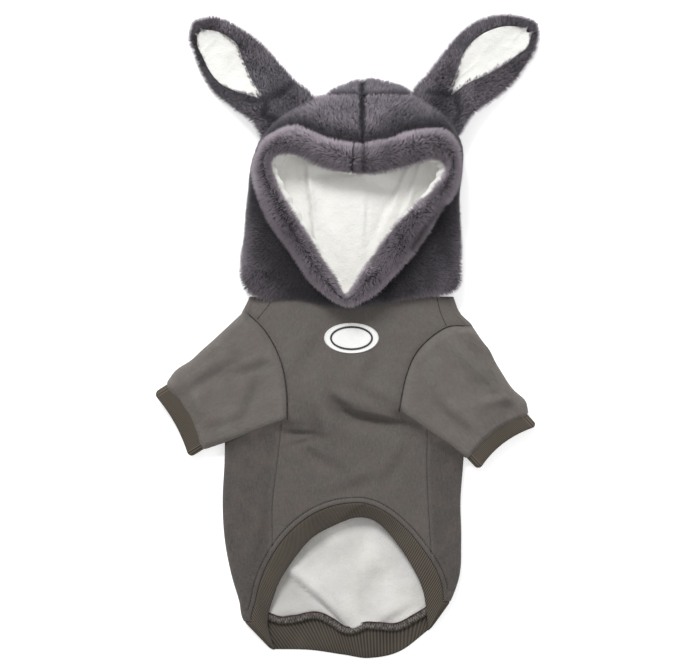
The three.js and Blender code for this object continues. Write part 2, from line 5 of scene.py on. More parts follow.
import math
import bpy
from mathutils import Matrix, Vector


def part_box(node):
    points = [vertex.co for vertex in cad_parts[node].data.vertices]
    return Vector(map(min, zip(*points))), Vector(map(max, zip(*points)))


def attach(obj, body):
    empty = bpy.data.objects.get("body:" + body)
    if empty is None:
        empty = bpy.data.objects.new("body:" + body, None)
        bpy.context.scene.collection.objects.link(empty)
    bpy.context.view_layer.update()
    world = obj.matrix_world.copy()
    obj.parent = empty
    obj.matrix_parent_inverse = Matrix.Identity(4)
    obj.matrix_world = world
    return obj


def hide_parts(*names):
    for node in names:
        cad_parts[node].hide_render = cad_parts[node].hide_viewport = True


bl_info = {
    "name": "Dog Hoodie",
    "version": (1, 0, 0),
    "blender": (4, 5, 0),
    "location": "View3D > Sidebar > Hoodie",
    "description": "Builds a furry hooded pullover for a small dog, lying flat",
    "category": "Add Mesh",
}

import bmesh
import bpy
import numpy as np
from bpy.props import FloatProperty, FloatVectorProperty, PointerProperty
from bpy.types import Operator, Panel, PropertyGroup
from mathutils import Vector
from mathutils.kdtree import KDTree

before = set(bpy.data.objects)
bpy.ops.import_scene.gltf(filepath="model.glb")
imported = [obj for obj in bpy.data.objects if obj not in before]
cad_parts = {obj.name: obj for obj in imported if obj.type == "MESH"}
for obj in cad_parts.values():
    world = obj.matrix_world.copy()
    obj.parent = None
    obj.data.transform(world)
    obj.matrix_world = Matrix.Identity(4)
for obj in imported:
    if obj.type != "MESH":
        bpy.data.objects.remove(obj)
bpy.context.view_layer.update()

# Tables: a row for each section, with lengths as shares of the sizes in the panel

# Across shares are of the body's width from its middle, along shares of its length from the neck.
BODY_SECTIONS = (  # along, left, right, crown
    (-0.05, 0.38, 0.44, 0.9),
    (0.0, 0.4, 0.462, 0.94),
    (0.04, 0.428, 0.485, 0.96),
    (0.08, 0.45, 0.538, 0.97),
    (0.13, 0.47, 0.53, 0.98),
    (0.2, 0.485, 0.524, 1.0),
    (0.33, 0.496, 0.509, 1.0),
    (0.49, 0.499, 0.499, 1.0),
    (0.61, 0.507, 0.487, 0.96),
    (0.73, 0.498, 0.49, 0.88),
    (0.85, 0.465, 0.479, 0.8),
    (0.915, 0.438, 0.446, 0.76),
    (0.976, 0.418, 0.4, 0.72),
    (1.0, 0.392, 0.38, 0.7),
)

# Soft folds in the belly. Size and spread are shares of the body's width, depth of its height.
BELLY_FOLDS = (  # across, along, angle, length, spread, depth
    (0.085, 0.355, -22, 0.14, 0.04, 0.19),
    (-0.035, 0.3, -48, 0.09, 0.035, 0.12),
    (-0.13, 0.41, -68, 0.11, 0.05, 0.22),
    (-0.06, 0.345, -60, 0.1, 0.05, -0.12),
    (-0.19, 0.385, 3, 0.08, 0.03, 0.12),
    (0.3, 0.6, 84, 0.16, 0.05, 0.08),
    (-0.38, 0.55, 95, 0.16, 0.05, 0.1),
)

# Creases where the cloth laps over itself: one flank stands up and the other lies low.
CREASES = (  # across, along, angle, length, spread, height
    (0.115, 0.352, -11, 0.14, 0.016, 0.09),
    (0.11, 0.345, -13, 0.14, 0.045, 0.15),
    (-0.01, 0.312, -42, 0.06, 0.03, 0.16),
    (0.15, 0.3, -28, 0.1, 0.04, 0.09),
    (-0.18, 0.4, -5, 0.07, 0.014, 0.07),
    (-0.18, 0.392, -8, 0.08, 0.035, 0.1),
    (-0.17, 0.425, 12, 0.06, 0.014, 0.05),
    (-0.09, 0.4, -80, 0.07, 0.028, 0.12),
    (-0.12, 0.46, -40, 0.07, 0.028, 0.12),
    (0.2, 0.5, 60, 0.09, 0.03, 0.06),
    (-0.35, 0.72, 80, 0.12, 0.03, 0.08),
    (0.38, 0.7, 96, 0.12, 0.03, 0.08),
    (0.1, 0.2, 70, 0.1, 0.05, 0.06),
    (-0.15, 0.15, 60, 0.1, 0.05, 0.06),
    (0.05, 0.55, 20, 0.12, 0.04, 0.05),
    (-0.02, 0.5, -50, 0.09, 0.035, 0.05),
)

# What seams press into the cloth: how deep and how wide. The cloth stands up beside a princess
# seam, that far from it.
ARMHOLE_GROOVE = (0.0011, 0.0021)
PRINCESS_GROOVE, PRINCESS_RIDGE, RIDGE_PLACE = (0.0009, 0.0007), (0.0003, 0.0012), 0.0022
PRINCESS_SEAMS = (  # along, left, right
    (0.3, -0.245, 0.33),
    (0.39, -0.26, 0.345),
    (0.494, -0.277, 0.344),
    (0.62, -0.297, 0.35),
    (0.74, -0.297, 0.36),
    (1.0, -0.29, 0.365),
)

# The hem's knit edge: a belly arch with its top off the middle, and a back that hangs lower.
HEM_TOP, HEM_TOP_ALONG, HEM_LEFT_BEND, HEM_RIGHT_BEND = 0.576, 0.613, 2.3, 1.9
HEM_LEFT, HEM_RIGHT = 0.976, 0.915
HEM_BACK = (  # share across, along: the wavy seam inside the back
    (0.0, 0.976),
    (0.05, 0.958),
    (0.1, 0.963),
    (0.15, 0.974),
    (0.237, 0.971),
    (0.38, 0.962),
    (0.45, 0.982),
    (0.5, 1.002),
    (0.56, 1.005),
    (0.635, 0.991),
    (0.702, 0.992),
    (0.85, 0.987),
    (0.91, 0.962),
    (1.0, 0.915),
)

# The rib's free edge, by share of the way from the left fold to the right one.
RIB_FRONT = (  # share, across, along
    (0.0, -0.289, 1.064),
    (0.06, -0.318, 0.985),
    (0.14, -0.285, 0.885),
    (0.25, -0.226, 0.805),
    (0.37, -0.138, 0.726),
    (0.48, -0.05, 0.688),
    (0.576, 0.05, 0.661),
    (0.67, 0.13, 0.672),
    (0.76, 0.2, 0.72),
    (0.84, 0.268, 0.79),
    (0.92, 0.33, 0.885),
    (1.0, 0.352, 1.006),
)
RIB_BACK = (
    (0.0, -0.289, 1.064),
    (0.2, -0.15, 1.066),
    (0.45, 0.0, 1.081),
    (0.65, 0.11, 1.091),
    (0.85, 0.245, 1.066),
    (1.0, 0.352, 1.006),
)
HEM_RIBS, CUFF_RIBS = 252, 72  # how many ribs go round each band
RIB_RISE = 0.0005  # from a groove to a crest
JOIN_GAP = 0.0003  # between two pieces that are sewn together
FLEECE_GAP = 0.0005  # between the knit and the lining behind it
# The lap of the hem band's ends: how far past the hem's top, its slant, height and reach.
LAP_START, LAP_SLANT, LAP_HEIGHT, LAP_REACH = 0.035, 0.11, 0.0011, 0.09
# Radius of each seam's dark line, and how far it is sunk into the cloth.
SEAM_LINES = {
    "princess": (0.00036, 0.0011),
    "armhole": (0.00042, 0.0002),
    "shoulder": (0.00028, -0.00005),
    "hem": (0.00035, 0.0009),
}

# Folds of the brushed lining on the back, as the hem's arch shows it.
FLEECE_FOLDS = (  # across, along, angle, length, spread, height
    (-0.15, 0.88, -39, 0.16, 0.03, 0.24),
    (-0.04, 0.96, -42, 0.12, 0.03, 0.16),
    (-0.27, 0.97, 15, 0.08, 0.04, 0.1),
    (0.1, 0.85, 70, 0.12, 0.05, 0.08),
    (0.2, 0.96, 30, 0.08, 0.03, 0.1),
)

# The angle is the sleeve's, and skew turns its mouth from square to it. Reach is of the sleeve's
# length, and seam_bow of its mouth. The puffs swell the edge on the shoulder's side: how far down
# the sleeve, how long, and how much of its width.
ARMHOLES = {
    "left": {
        "side": -1, "angle": 212, "skew": -3, "reach": 1.01, "seam_bow": 0.06,
        "puffs": ((0.86, 0.13, 0.055), (0.55, 0.1, 0.012)),
        "curve": ((-0.413, 0.033), (-0.33, 0.092), (-0.27, 0.17), (-0.24, 0.26), (-0.234, 0.369)),
    },
    "right": {
        "side": 1, "angle": -47, "skew": -6, "reach": 0.96, "seam_bow": 0.1,
        "puffs": ((0.27, 0.1, 0.07), (0.88, 0.11, 0.07)),
        "curve": ((0.535, 0.08), (0.425, 0.084), (0.315, 0.146), (0.26, 0.225), (0.226, 0.344)),
    },
}
SHOULDER_SEAMS = (  # along each: across, along
    ((-0.298, 0.0), (-0.325, 0.028), (-0.366, 0.062)),
    ((0.385, -0.01), (0.402, 0.04), (0.428, 0.083)),
)
SLEEVE_END = 1.045  # how far the sleeve's cloth runs, where 1 is the cuff's seam
SLEEVE_DROP = (0.45, 0.85)  # where down the sleeve its underside comes to the floor
TURNED_IN = 0.0035  # how far its end is turned in over the cuff
CUFF_TUCK, CUFF_ROUNDING = 0.004, 0.0038  # how far the cuff reaches in, and its ends fall back
CUFF_INSET = 0.0012  # the cuff is that much slimmer than the sleeve's end
SLEEVE_FOLDS = (  # across, along, angle, length, spread, height
    (0.68, 0.3, -40, 0.11, 0.04, 0.14),
    (0.7, 0.29, 60, 0.06, 0.045, 0.14),
    (0.5, 0.2, -50, 0.12, 0.05, 0.1),
    (0.42, 0.33, -60, 0.12, 0.045, 0.1),
    (-0.55, 0.22, 30, 0.12, 0.045, 0.12),
    (-0.62, 0.33, -60, 0.12, 0.04, 0.12),
    (-0.4, 0.3, 70, 0.12, 0.04, 0.1),
    (-0.38, 0.2, 20, 0.08, 0.03, 0.08),
)

SLEEVE_CREASES = (  # across, along, angle, length, spread, height
    (0.674, 0.287, 14, 0.1, 0.022, -0.11),
    (0.66, 0.27, 14, 0.12, 0.05, -0.1),
    (0.6, 0.165, -28, 0.08, 0.03, 0.1),
    (0.47, 0.36, -38, 0.12, 0.03, 0.06),
    (-0.6, 0.27, 38, 0.12, 0.03, -0.05),
    (-0.5, 0.37, 20, 0.1, 0.03, 0.06),
)

# The hood from above, going round from the throat's point by the left side: its outer edge, the
# brim's seam, the mouth, and how far the white roll shows inside the mouth, in millimetres.
HOOD_STATIONS = (  # edge x, edge y, seam x, seam y, mouth x, mouth y, roll
    (-0.028, -0.507, -0.028, -0.49, -0.028, -0.448, 1.0),
    (-0.24, -0.48, -0.171, -0.4, -0.088, -0.364, 2.5),
    (-0.417, -0.462, -0.269, -0.271, -0.153, -0.267, 4.0),
    (-0.505, -0.391, -0.356, -0.156, -0.227, -0.16, 5.5),
    (-0.491, -0.178, -0.412, -0.044, -0.296, -0.053, 6.5),
    (-0.477, 0.0, -0.447, 0.071, -0.352, 0.049, 7.0),
    (-0.454, 0.142, -0.436, 0.16, -0.375, 0.133, 6.0),
    (-0.398, 0.271, -0.379, 0.245, -0.333, 0.169, 5.5),
    (-0.282, 0.373, -0.259, 0.284, -0.241, 0.164, 6.0),
    (-0.125, 0.436, -0.106, 0.227, -0.125, 0.111, 3.0),
    (0.037, 0.498, 0.046, 0.209, 0.028, 0.08, 0.5),
    (0.19, 0.48, 0.208, 0.244, 0.167, 0.098, 1.0),
    (0.343, 0.409, 0.338, 0.276, 0.278, 0.124, 3.0),
    (0.444, 0.324, 0.43, 0.262, 0.361, 0.151, 6.0),
    (0.505, 0.2, 0.486, 0.178, 0.426, 0.129, 8.0),
    (0.491, 0.022, 0.478, 0.031, 0.412, 0.067, 7.5),
    (0.495, -0.156, 0.407, -0.076, 0.333, -0.018, 4.0),
    (0.495, -0.298, 0.319, -0.204, 0.222, -0.116, 1.5),
    (0.477, -0.422, 0.231, -0.316, 0.139, -0.218, 1.0),
    (0.269, -0.467, 0.097, -0.44, 0.046, -0.351, 1.0),
)
HOOD_MIDDLE = (0.034, 0.468)  # from the neck seam's middle, of the body's width, the hood's length
# From the hood's foot out to its widest line, and from there in to the brim's seam.
HOOD_WIDEST_STEP = 2
PANEL_SEAM = (0.003, 0.0022)  # how deep and how wide the panels' seams draw the skin in
HOOD_FLOOR = 0.12  # the share of the hood's rows that lie under it
HOOD_PROFILE = (  # step, how far out, how high
    (0, 0.0, 0.0),
    (1, 0.5, 0.16),
    (2, 1.0, 0.44),
    (3, 0.86, 0.68),
    (4, 0.6, 0.86),
    (5, 0.3, 0.96),
    (6, 0.0, 1.0),
)
BRIM_PROFILE = (  # how far in, how high
    (0.02, -0.14),
    (0.0, 0.26),
    (0.2, 0.82),
    (0.6, 1.0),
    (1.0, 0.6),
    (0.85, -0.04),
)
BRIM_CREASE = ((0.411, -0.045), (0.34, -0.13), (0.264, -0.236))  # shares of the hood's size

ROLL_PUFFS, PUFF_RISE = 29, 0.0007  # how many soft puffs the white roll has, and how high
# Folds and seams of the white lining, from the hood's middle, as shares of its width and length.
LINING_FOLDS = (  # across, along, angle, length, spread, height
    (-0.195, 0.03, 96, 0.18, 0.012, -0.22),
    (-0.21, 0.02, 96, 0.18, 0.045, -0.2),
    (-0.12, -0.11, 8, 0.14, 0.035, 0.16),
    (0.058, 0.14, 87, 0.22, 0.01, 0.07),
    (0.175, 0.05, 66, 0.2, 0.014, -0.15),
    (0.19, 0.04, 66, 0.2, 0.05, -0.09),
    (0.27, -0.03, 71, 0.14, 0.016, -0.15),
    (0.1, -0.07, -20, 0.14, 0.04, 0.14),
    (-0.05, 0.2, 110, 0.12, 0.04, 0.1),
)

EARS = {
    "left": {
        "across": -0.296, "up": 0.333, "angle": 135,
        "outline": (  # along, offset, half
            (-0.12, 0.0, 0.38),
            (-0.05, 0.0, 0.47),
            (0.154, 0.03, 0.43),
            (0.351, 0.02, 0.47),
            (0.547, 0.01, 0.486),
            (0.696, 0.03, 0.43),
            (0.85, 0.05, 0.315),
            (0.945, 0.035, 0.19),
            (0.985, 0.035, 0.04),
        ),
        "plush": (
            (0.277, -0.06, 0.02),
            (0.414, -0.1, 0.13),
            (0.542, -0.09, 0.22),
            (0.67, -0.03, 0.257),
            (0.776, -0.01, 0.205),
            (0.86, -0.015, 0.14),
            (0.915, -0.015, 0.045),
        ),
    },
    "right": {
        "across": 0.384, "up": 0.347, "angle": 43.5,
        "outline": (
            (-0.12, 0.0, 0.36),
            (-0.05, 0.0, 0.44),
            (0.193, -0.08, 0.443),
            (0.392, -0.09, 0.5),
            (0.596, -0.1, 0.52),
            (0.775, -0.08, 0.443),
            (0.922, -0.026, 0.27),
            (0.98, 0.0, 0.13),
            (1.0, 0.0, 0.03),
        ),
        "plush": (
            (0.208, -0.09, 0.02),
            (0.339, -0.13, 0.1),
            (0.449, -0.15, 0.193),
            (0.579, -0.14, 0.25),
            (0.753, -0.08, 0.24),
            (0.859, -0.01, 0.18),
            (0.935, 0.03, 0.04),
        ),
    },
}
EAR_CREASES = {  # along and aside, as shares of the ear's length and width
    "left": (
        ((0.135, 0.37), (0.17, 0.1), (0.237, -0.153), (0.27, -0.2)),
        ((0.2, -0.03), (0.13, -0.21), (0.04, -0.12)),
    ),
    "right": (
        ((0.249, -0.154), (0.19, 0.02), (0.117, 0.197), (0.06, 0.26)),
        ((0.068, -0.286), (0.13, -0.16), (0.18, -0.02)),
    ),
}
EAR_BACKING = 0.0025  # how deep an ear's cloth lies in its fur
EAR_DENTS = ((0.13, 0.035, 0.35), (0.3, 0.05, 0.15))  # how far along, how long, how deep
PATCH_PLACE = (0.031, 0.116)  # its middle, of the body's width and length from the neck seam

# Fur: how far apart its tufts stand, how much tufts and strands stray, how upright they stay, how
# far a strand is drawn to its tuft's peak, and how wide it is.
TUFT = 0.0024
TUFT_STRAY, STRAND_STRAY, LEAST_RISE = 0.12, 0.14, 0.3
DRAWN, STRAND_WIDTH = (0.03, 0.17), (0.00042, 0.0006)
# Its brightness, from 0 to 1: on the whole, how much tufts and strands differ, patches of two
# sizes, how much darker along a seam and in painted shade, and the painted sheen where it turns
# away.
BRIGHT, TUFT_TONE, STRAND_TONE = 0.22, 0.07, 0.13
PATCH_TONES = ((0.018, 2, 0.1), (0.07, 3, 0.14))  # size, added to the seed, strength
SEAM_AND_SHADOW_TONE, RIM_SHEEN, RIM_SHEEN_POWER = 0.5, 0.75, 1.6

# A flat tube's section: from the left fold along the floor to the right fold and back on top.
SECTION_STOPS = (0.0, 0.045, 0.245, 0.29, 0.335, 0.955, 1.0)
SECTION_FLAT = (0, 0, 1, 1, 1, 0, 0)
SECTION_TURN = (-180, -90, -90, 0, 90, 90, 180)

TAU = 2 * math.pi


def size(name, description, default):
    return FloatProperty(
        name=name, description=description, default=default, unit="LENGTH", subtype="DISTANCE")


def share(name, description, default):
    return FloatProperty(name=name, description=description, default=default, subtype="FACTOR")


def colour(name, description, default):
    return FloatVectorProperty(
        name=name, description=description, default=default, subtype="COLOR", min=0, max=1)


class HoodieBody(PropertyGroup):
    width: size("Width", "Flat, from side fold to side fold", 0.222)
    length: size("Length", "From the neck seam to the end of the knit on the back", 0.305)
    height: size("Height", "How high the belly stands as it lies", 0.025)
    fold: size("Side fold", "Radius of the side folds", 0.007)
    wall: size("Wall", "Thickness of the sweatshirt knit", 0.0016)
    neck_tuck: size("Neck tuck", "How far the neck reaches up inside the hood", 0.003)
    fleece_depth: size("Fleece depth", "How far up the fleece lining is built", 0.113)
    fleece_wall: size("Fleece wall", "Thickness of the brushed lining", 0.0012)
    rib_wall: size("Rib wall", "Thickness of the doubled rib", 0.0031)
    rib_height: size("Rib height", "How high the rib's belly edge stands", 0.014)
    rib_pitch: size("Rib pitch", "From one rib to the next", 0.00202)
    binding: size("Binding", "From the rib's seam to the line of stitches above it", 0.0046)


class HoodieSleeves(PropertyGroup):
    length: size("Length", "Armhole chord to cuff seam", 0.086)
    height: size("Height", "At the armhole", 0.027)
    mouth: size("Mouth", "Flat width at the cuff seam", 0.071)
    mouth_height: size("Mouth height", "At the cuff seam", 0.016)
    wall: size("Wall", "Thickness of the knit", 0.0018)
    fold: size("Side fold", "Radius of the sleeve's side folds", 0.0075)
    cuff_depth: size("Cuff depth", "From the cuff seam to the cuff's edge", 0.0175)
    cuff_height: size("Cuff height", "As it lies", 0.014)
    cuff_wall: size("Cuff wall", "Thickness of the doubled rib", 0.0028)


class HoodieHood(PropertyGroup):
    width: size("Width", "At its widest", 0.201)
    length: size("Length", "From the throat to the crown", 0.209)
    side: size("Side height", "Height of the hood's widest line", 0.016)
    seam_height: size("Seam height", "Where the brim is sewn on", 0.036)
    brim: size("Brim thickness", "Padded and furry", 0.016)
    plush: size("Plush wall", "Thickness of the white lining", 0.0022)
    crown_line: share("Crown line", "The crown seam, from the middle, of the length", 0.427)
    forehead_line: share("Forehead line", "The forehead panels' lower end", 0.17)
    middle_seam: share("Middle seam", "The seam down the middle, of the width", 0.045)
    pile: size("Pile", "Length of the fur's strands", 0.0065)
    backing: size("Backing", "How deep the cloth lies in the fur", 0.003)


class HoodieEars(PropertyGroup):
    length: size("Length", "From the hood to the tip", 0.125)
    width: size("Width", "At its widest", 0.065)
    thickness: size("Thickness", "Of fur and plush together", 0.010)
    root: size("Root height", "Height of the ear's underside where it is sewn on", 0.015)
    plush: size("Plush wall", "Thickness of the white lining", 0.0018)


class HoodiePatch(PropertyGroup):
    width: size("Width", "Of the oval", 0.0495)
    height: size("Height", "Of the oval", 0.0277)
    thickness: size("Thickness", "Of the plate", 0.0013)
    ring: size("Ring width", "Of the plain raised ring", 0.0017)
    inset: size("Ring inset", "From the patch's edge to the ring", 0.005)
    ring_thickness: size("Ring thickness", "Above the plate", 0.0005)


class HoodieColours(PropertyGroup):
    knit: colour("Knit", "Sweatshirt cloth", (0.122, 0.112, 0.103))
    rib: colour("Rib", "Rib of the cuffs and the hem", (0.088, 0.076, 0.062))
    fur_root: colour("Fur root", "Deep in the pile", (0.036, 0.033, 0.039))
    fur_tip: colour("Fur tip", "At the strands' ends", (0.183, 0.174, 0.203))
    plush: colour("Plush", "White lining of hood and ears", (0.86, 0.855, 0.822))
    fleece: colour("Fleece", "Brushed lining of the body", (0.67, 0.657, 0.625))
    patch: colour("Patch", "Chest patch", (0.87, 0.87, 0.86))
    ink: colour("Ring", "The patch's ring", (0.03, 0.03, 0.033))
    thread: colour("Thread", "Overlock stitches inside the hem", (0.17, 0.155, 0.155))
    chain: colour("Chain", "The overlock's upper edge", (0.06, 0.035, 0.05))


# Small helpers


def settings_of(kind):
    """The sizes or colours of one kind, as the panel has them."""
    return getattr(bpy.context.scene, "hoodie_" + kind)


def smooth_rows(rows):
    """A smooth curve through a table's rows, by the place in their first column."""
    table = np.array(rows, float)
    at, values = table[:, 0], table[:, 1:]
    steps = np.diff(at)[:, None]
    slopes = np.diff(values, axis=0) / steps
    inner = (slopes[:-1] * steps[1:] + slopes[1:] * steps[:-1]) / (steps[:-1] + steps[1:])
    tangents = np.vstack([slopes[:1], inner, slopes[-1:]])

    def curve(place):
        place = np.clip(np.asarray(place, float), at[0], at[-1])
        i = np.clip(np.searchsorted(at, place, side="right") - 1, 0, len(at) - 2)
        step = (at[i + 1] - at[i])[..., None]
        s = (place - at[i])[..., None] / step
        found = (2 * s**3 - 3 * s**2 + 1) * values[i] + (3 * s**2 - 2 * s**3) * values[i + 1]
        found += step * ((s**3 - 2 * s**2 + s) * tangents[i] + (s**3 - s**2) * tangents[i + 1])
        return np.moveaxis(found, -1, 0)

    return curve


def closed_curve(points):
    """A smooth closed curve through points, by the share of the way round."""
    points = np.array(points, float)
    count = len(points)

    def curve(way):
        place = np.asarray(way, float) * count
        i = np.floor(place).astype(int)
        s = (place - i)[..., None]
        a, b, c, d = (points[(i + k) % count] for k in (-1, 0, 1, 2))
        found = b + 0.5 * s * (c - a + s * (2 * a - 5 * b + 4 * c - d + s * (3 * (b - c) + d - a)))
        return np.moveaxis(found, -1, 0)

    return curve


def open_curve(points):
    """A smooth curve through points, by the share of the way from the first to the last."""
    return smooth_rows([(i / (len(points) - 1), *p) for i, p in enumerate(points)])


def inside_outline(points, outline):
    """Which points lie inside a closed outline."""
    inside = np.zeros(len(points), bool)
    for a, b in zip(outline, np.roll(outline, -1, axis=0)):
        crosses = (a[1] > points[:, 1]) != (b[1] > points[:, 1])
        with np.errstate(divide="ignore", invalid="ignore"):
            at = a[0] + (points[:, 1] - a[1]) * (b[0] - a[0]) / (b[1] - a[1])
        inside ^= crosses & (points[:, 0] < at)
    return inside


def distance_to_line(points, line):
    """How far each point lies from a line of points."""
    best = np.full(len(points), 1e9)
    for a, b in zip(line[:-1], line[1:]):
        step = b - a
        part = np.clip((points - a) @ step / (step @ step), 0, 1)
        best = np.minimum(best, np.linalg.norm(points - a - part[:, None] * step, axis=1))
    return best


def mix(a, b, part):
    """The value that share of the way from a to b."""
    return a + (b - a) * part


def smoothstep(value, low, high):
    """0 up to low, 1 from high, and a soft step between."""
    t = np.clip((value - low) / (high - low), 0, 1)
    return t * t * (3 - 2 * t)


def bell(value, spread):
    """1 where the value is 0, and little past the spread."""
    return np.exp(-(value / spread) ** 2)


def ripple(points, scale, seed, waves=9):
    """Smooth waves in space, about -1 to 1, for each point: three numbers from crossed waves."""
    rng = np.random.default_rng(seed)
    total = np.zeros((len(points), 3))
    for _ in range(waves):
        way = rng.normal(size=3)
        way *= TAU / scale * rng.uniform(0.6, 1.5) / np.linalg.norm(way)
        total += rng.normal(size=3) * np.sin(points @ way + rng.uniform(0, TAU))[:, None]
    return total / math.sqrt(waves)


def flat_ripple(x, y, scale, seed, which=0):
    """The same waves at places on the floor."""
    points = np.stack([x, y, 0 * x], axis=-1).reshape(-1, 3)
    return ripple(points, scale, seed)[:, which].reshape(np.shape(x))


def pressed(off, depth, spread):
    """How deep a seam presses the cloth in, at distances from it."""
    return depth * bell(off, spread)


def unit(vectors):
    """The vectors, each made one long."""
    return vectors / np.maximum(np.linalg.norm(vectors, axis=1), 1e-9)[:, None]


def folds(x, y, rows, width, length, height, lapped):
    """The height of a table's folds at each point. A lapped one has a high and a low flank."""
    total = np.zeros(np.shape(x))
    for across, along, angle, long, spread, depth in rows:
        turn = math.radians(angle)
        dx, dy = x - across * width, y + along * length
        down = (dx * math.cos(turn) + dy * math.sin(turn)) / (long * width)
        aside = (dy * math.cos(turn) - dx * math.sin(turn)) / (spread * width)
        shape = depth * height * np.exp(-down**2 - aside**2)
        total += 2.3 * aside * shape if lapped else shape
    return total


def section(way):
    """Where on a flat tube's section a point is: its share across and its turn."""
    flat = np.interp(way, SECTION_STOPS, SECTION_FLAT)
    turn = np.radians(np.interp(way, SECTION_STOPS, SECTION_TURN))
    return flat, turn


def on_top(turn):
    return np.sin(turn) > 0.9999


def dome(flat):
    """The rise across a flat tube: level in the middle, and steep at its two folds."""
    return 1 - (2 * flat - 1) ** 4


def neck_middle():
    """The neck seam's middle in the frame, found from the patch, which is placed from it."""
    body = settings_of("body")
    low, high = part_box("chest_patch")
    x = (low.x + high.x) / 2 - PATCH_PLACE[0] * body.width
    y = (low.y + high.y) / 2 + PATCH_PLACE[1] * body.length
    return np.array([x, y, 0.0])


def grid_mesh(columns, rows, place, spread=(1.0, 1.0), upward=False, merge=2e-5):
    """A grid of columns and rows laid on the surface that place gives for the shares along them.
    Its UV map is in metres where spread gives the grid's real size, or gives each point's own."""
    bm = bmesh.new()
    bmesh.ops.create_grid(bm, x_segments=columns, y_segments=rows, size=0.5)
    shares = np.array([v.co for v in bm.verts]) + 0.5
    found = np.stack(np.broadcast_arrays(*place(shares[:, 0], shares[:, 1])), axis=1)
    found = found + neck_middle()
    if callable(spread):
        laid = np.stack(spread(shares[:, 0], shares[:, 1]), axis=1)
    else:
        laid = shares[:, :2] * spread
    uv = bm.loops.layers.uv.new("cloth")
    for vert, point in zip(bm.verts, found):
        vert.co = point
    bm.verts.index_update()
    for face in bm.faces:
        for loop in face.loops:
            loop[uv].uv = laid[loop.vert.index]
    bmesh.ops.remove_doubles(bm, verts=bm.verts, dist=merge)
    bmesh.ops.dissolve_degenerate(bm, edges=bm.edges, dist=merge)
    face_out(bm, upward)
    return bm


def face_out(bm, upward=False):
    """Turns all faces over if they point inwards on the whole, or down where they should be up."""
    middle = sum((v.co for v in bm.verts), Vector()) / len(bm.verts)
    bm.normal_update()
    facing = sum(
        f.calc_area() * (f.normal.z if upward else f.normal.dot(f.calc_center_median() - middle))
        for f in bm.faces)
    if facing < 0:
        bmesh.ops.reverse_faces(bm, faces=bm.faces)


def placed(mesh, name, material):
    """The mesh as an object that rides on the frame."""
    mesh.shade_smooth()
    mesh.materials.append(material)
    made = bpy.data.objects.new(name, mesh)
    bpy.context.scene.collection.objects.link(made)
    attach(made, "root")
    return made


def finished(bm, name, material, *nodes, slot, wall=0.0):
    """The bmesh as an object that rides on the frame and stands for those nodes."""
    mesh = bpy.data.meshes.new(name)
    bm.normal_update()
    bm.to_mesh(mesh)
    bm.free()
    made = placed(mesh, name, material)
    if nodes:
        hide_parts(*nodes)
    if wall:
        thick = made.modifiers.new("wall", "SOLIDIFY")
        thick.thickness = wall
        thick.offset = -1
    return made


def points_of(mesh):
    """A mesh's points as an array."""
    found = np.empty(len(mesh.vertices) * 3)
    mesh.vertices.foreach_get("co", found)
    return found.reshape(-1, 3)


def keep_value(mesh, name, values):
    """Stores a number for each of a mesh's points under a name that a material reads."""
    layer = mesh.attributes.new(name, "FLOAT", "POINT")
    layer.data.foreach_set("value", np.asarray(values, np.float32))


# Repeated small things: one template, laid many times over


def template(bm):
    """A small bmesh as its points and its triangles."""
    bmesh.ops.remove_doubles(bm, verts=bm.verts, dist=1e-5)
    bmesh.ops.triangulate(bm, faces=bm.faces)
    bm.verts.index_update()
    points = np.array([v.co for v in bm.verts])
    faces = np.array([[v.index for v in f.verts] for f in bm.faces])
    bm.free()
    return points, faces


def strand_template():
    """One strand of fur, one long and one wide: a thorn of four faces."""
    bm = bmesh.new()
    bmesh.ops.create_cone(bm, cap_ends=True, segments=3, radius1=0.5, radius2=0.0, depth=1.0)
    bmesh.ops.translate(bm, verts=bm.verts, vec=(0, 0, 0.5))
    return template(bm)


def stitch_template():
    """One stitch, one long and one wide, with rounded ends."""
    bm = bmesh.new()
    bmesh.ops.create_uvsphere(bm, u_segments=6, v_segments=4, radius=0.5)
    return template(bm)


def laid_many(name, pattern, starts, ends, widths, hints=None):
    """A mesh of copies of a template, each from its start to its end. The second thing given back
    says how far along its copy each point is."""
    points, faces = pattern
    reach = ends - starts
    way = unit(reach)
    if hints is None:
        hints = np.roll(way, 1, axis=1) + 0.31
    aside = unit(np.cross(way, hints))
    across = np.cross(way, aside)
    low, high = points[:, 2].min(), points[:, 2].max()
    up = (points[:, 2] - low) / (high - low)
    laid = (
        starts[:, None, :] + reach[:, None, :] * up[None, :, None]
        + aside[:, None, :] * (points[:, 0][None, :] * widths[:, None])[..., None]
        + across[:, None, :] * (points[:, 1][None, :] * widths[:, None])[..., None])
    count = len(starts)
    corners = (faces[None] + (np.arange(count) * len(points))[:, None, None]).reshape(-1, 3)
    mesh = bpy.data.meshes.new(name)
    mesh.vertices.add(count * len(points))
    mesh.vertices.foreach_set("co", laid.reshape(-1))
    mesh.loops.add(corners.size)
    mesh.loops.foreach_set("vertex_index", corners.reshape(-1))
    mesh.polygons.add(len(corners))
    mesh.polygons.foreach_set("loop_start", np.arange(0, corners.size, 3))
    mesh.update(calc_edges=True)
    return mesh, np.tile(up, count)


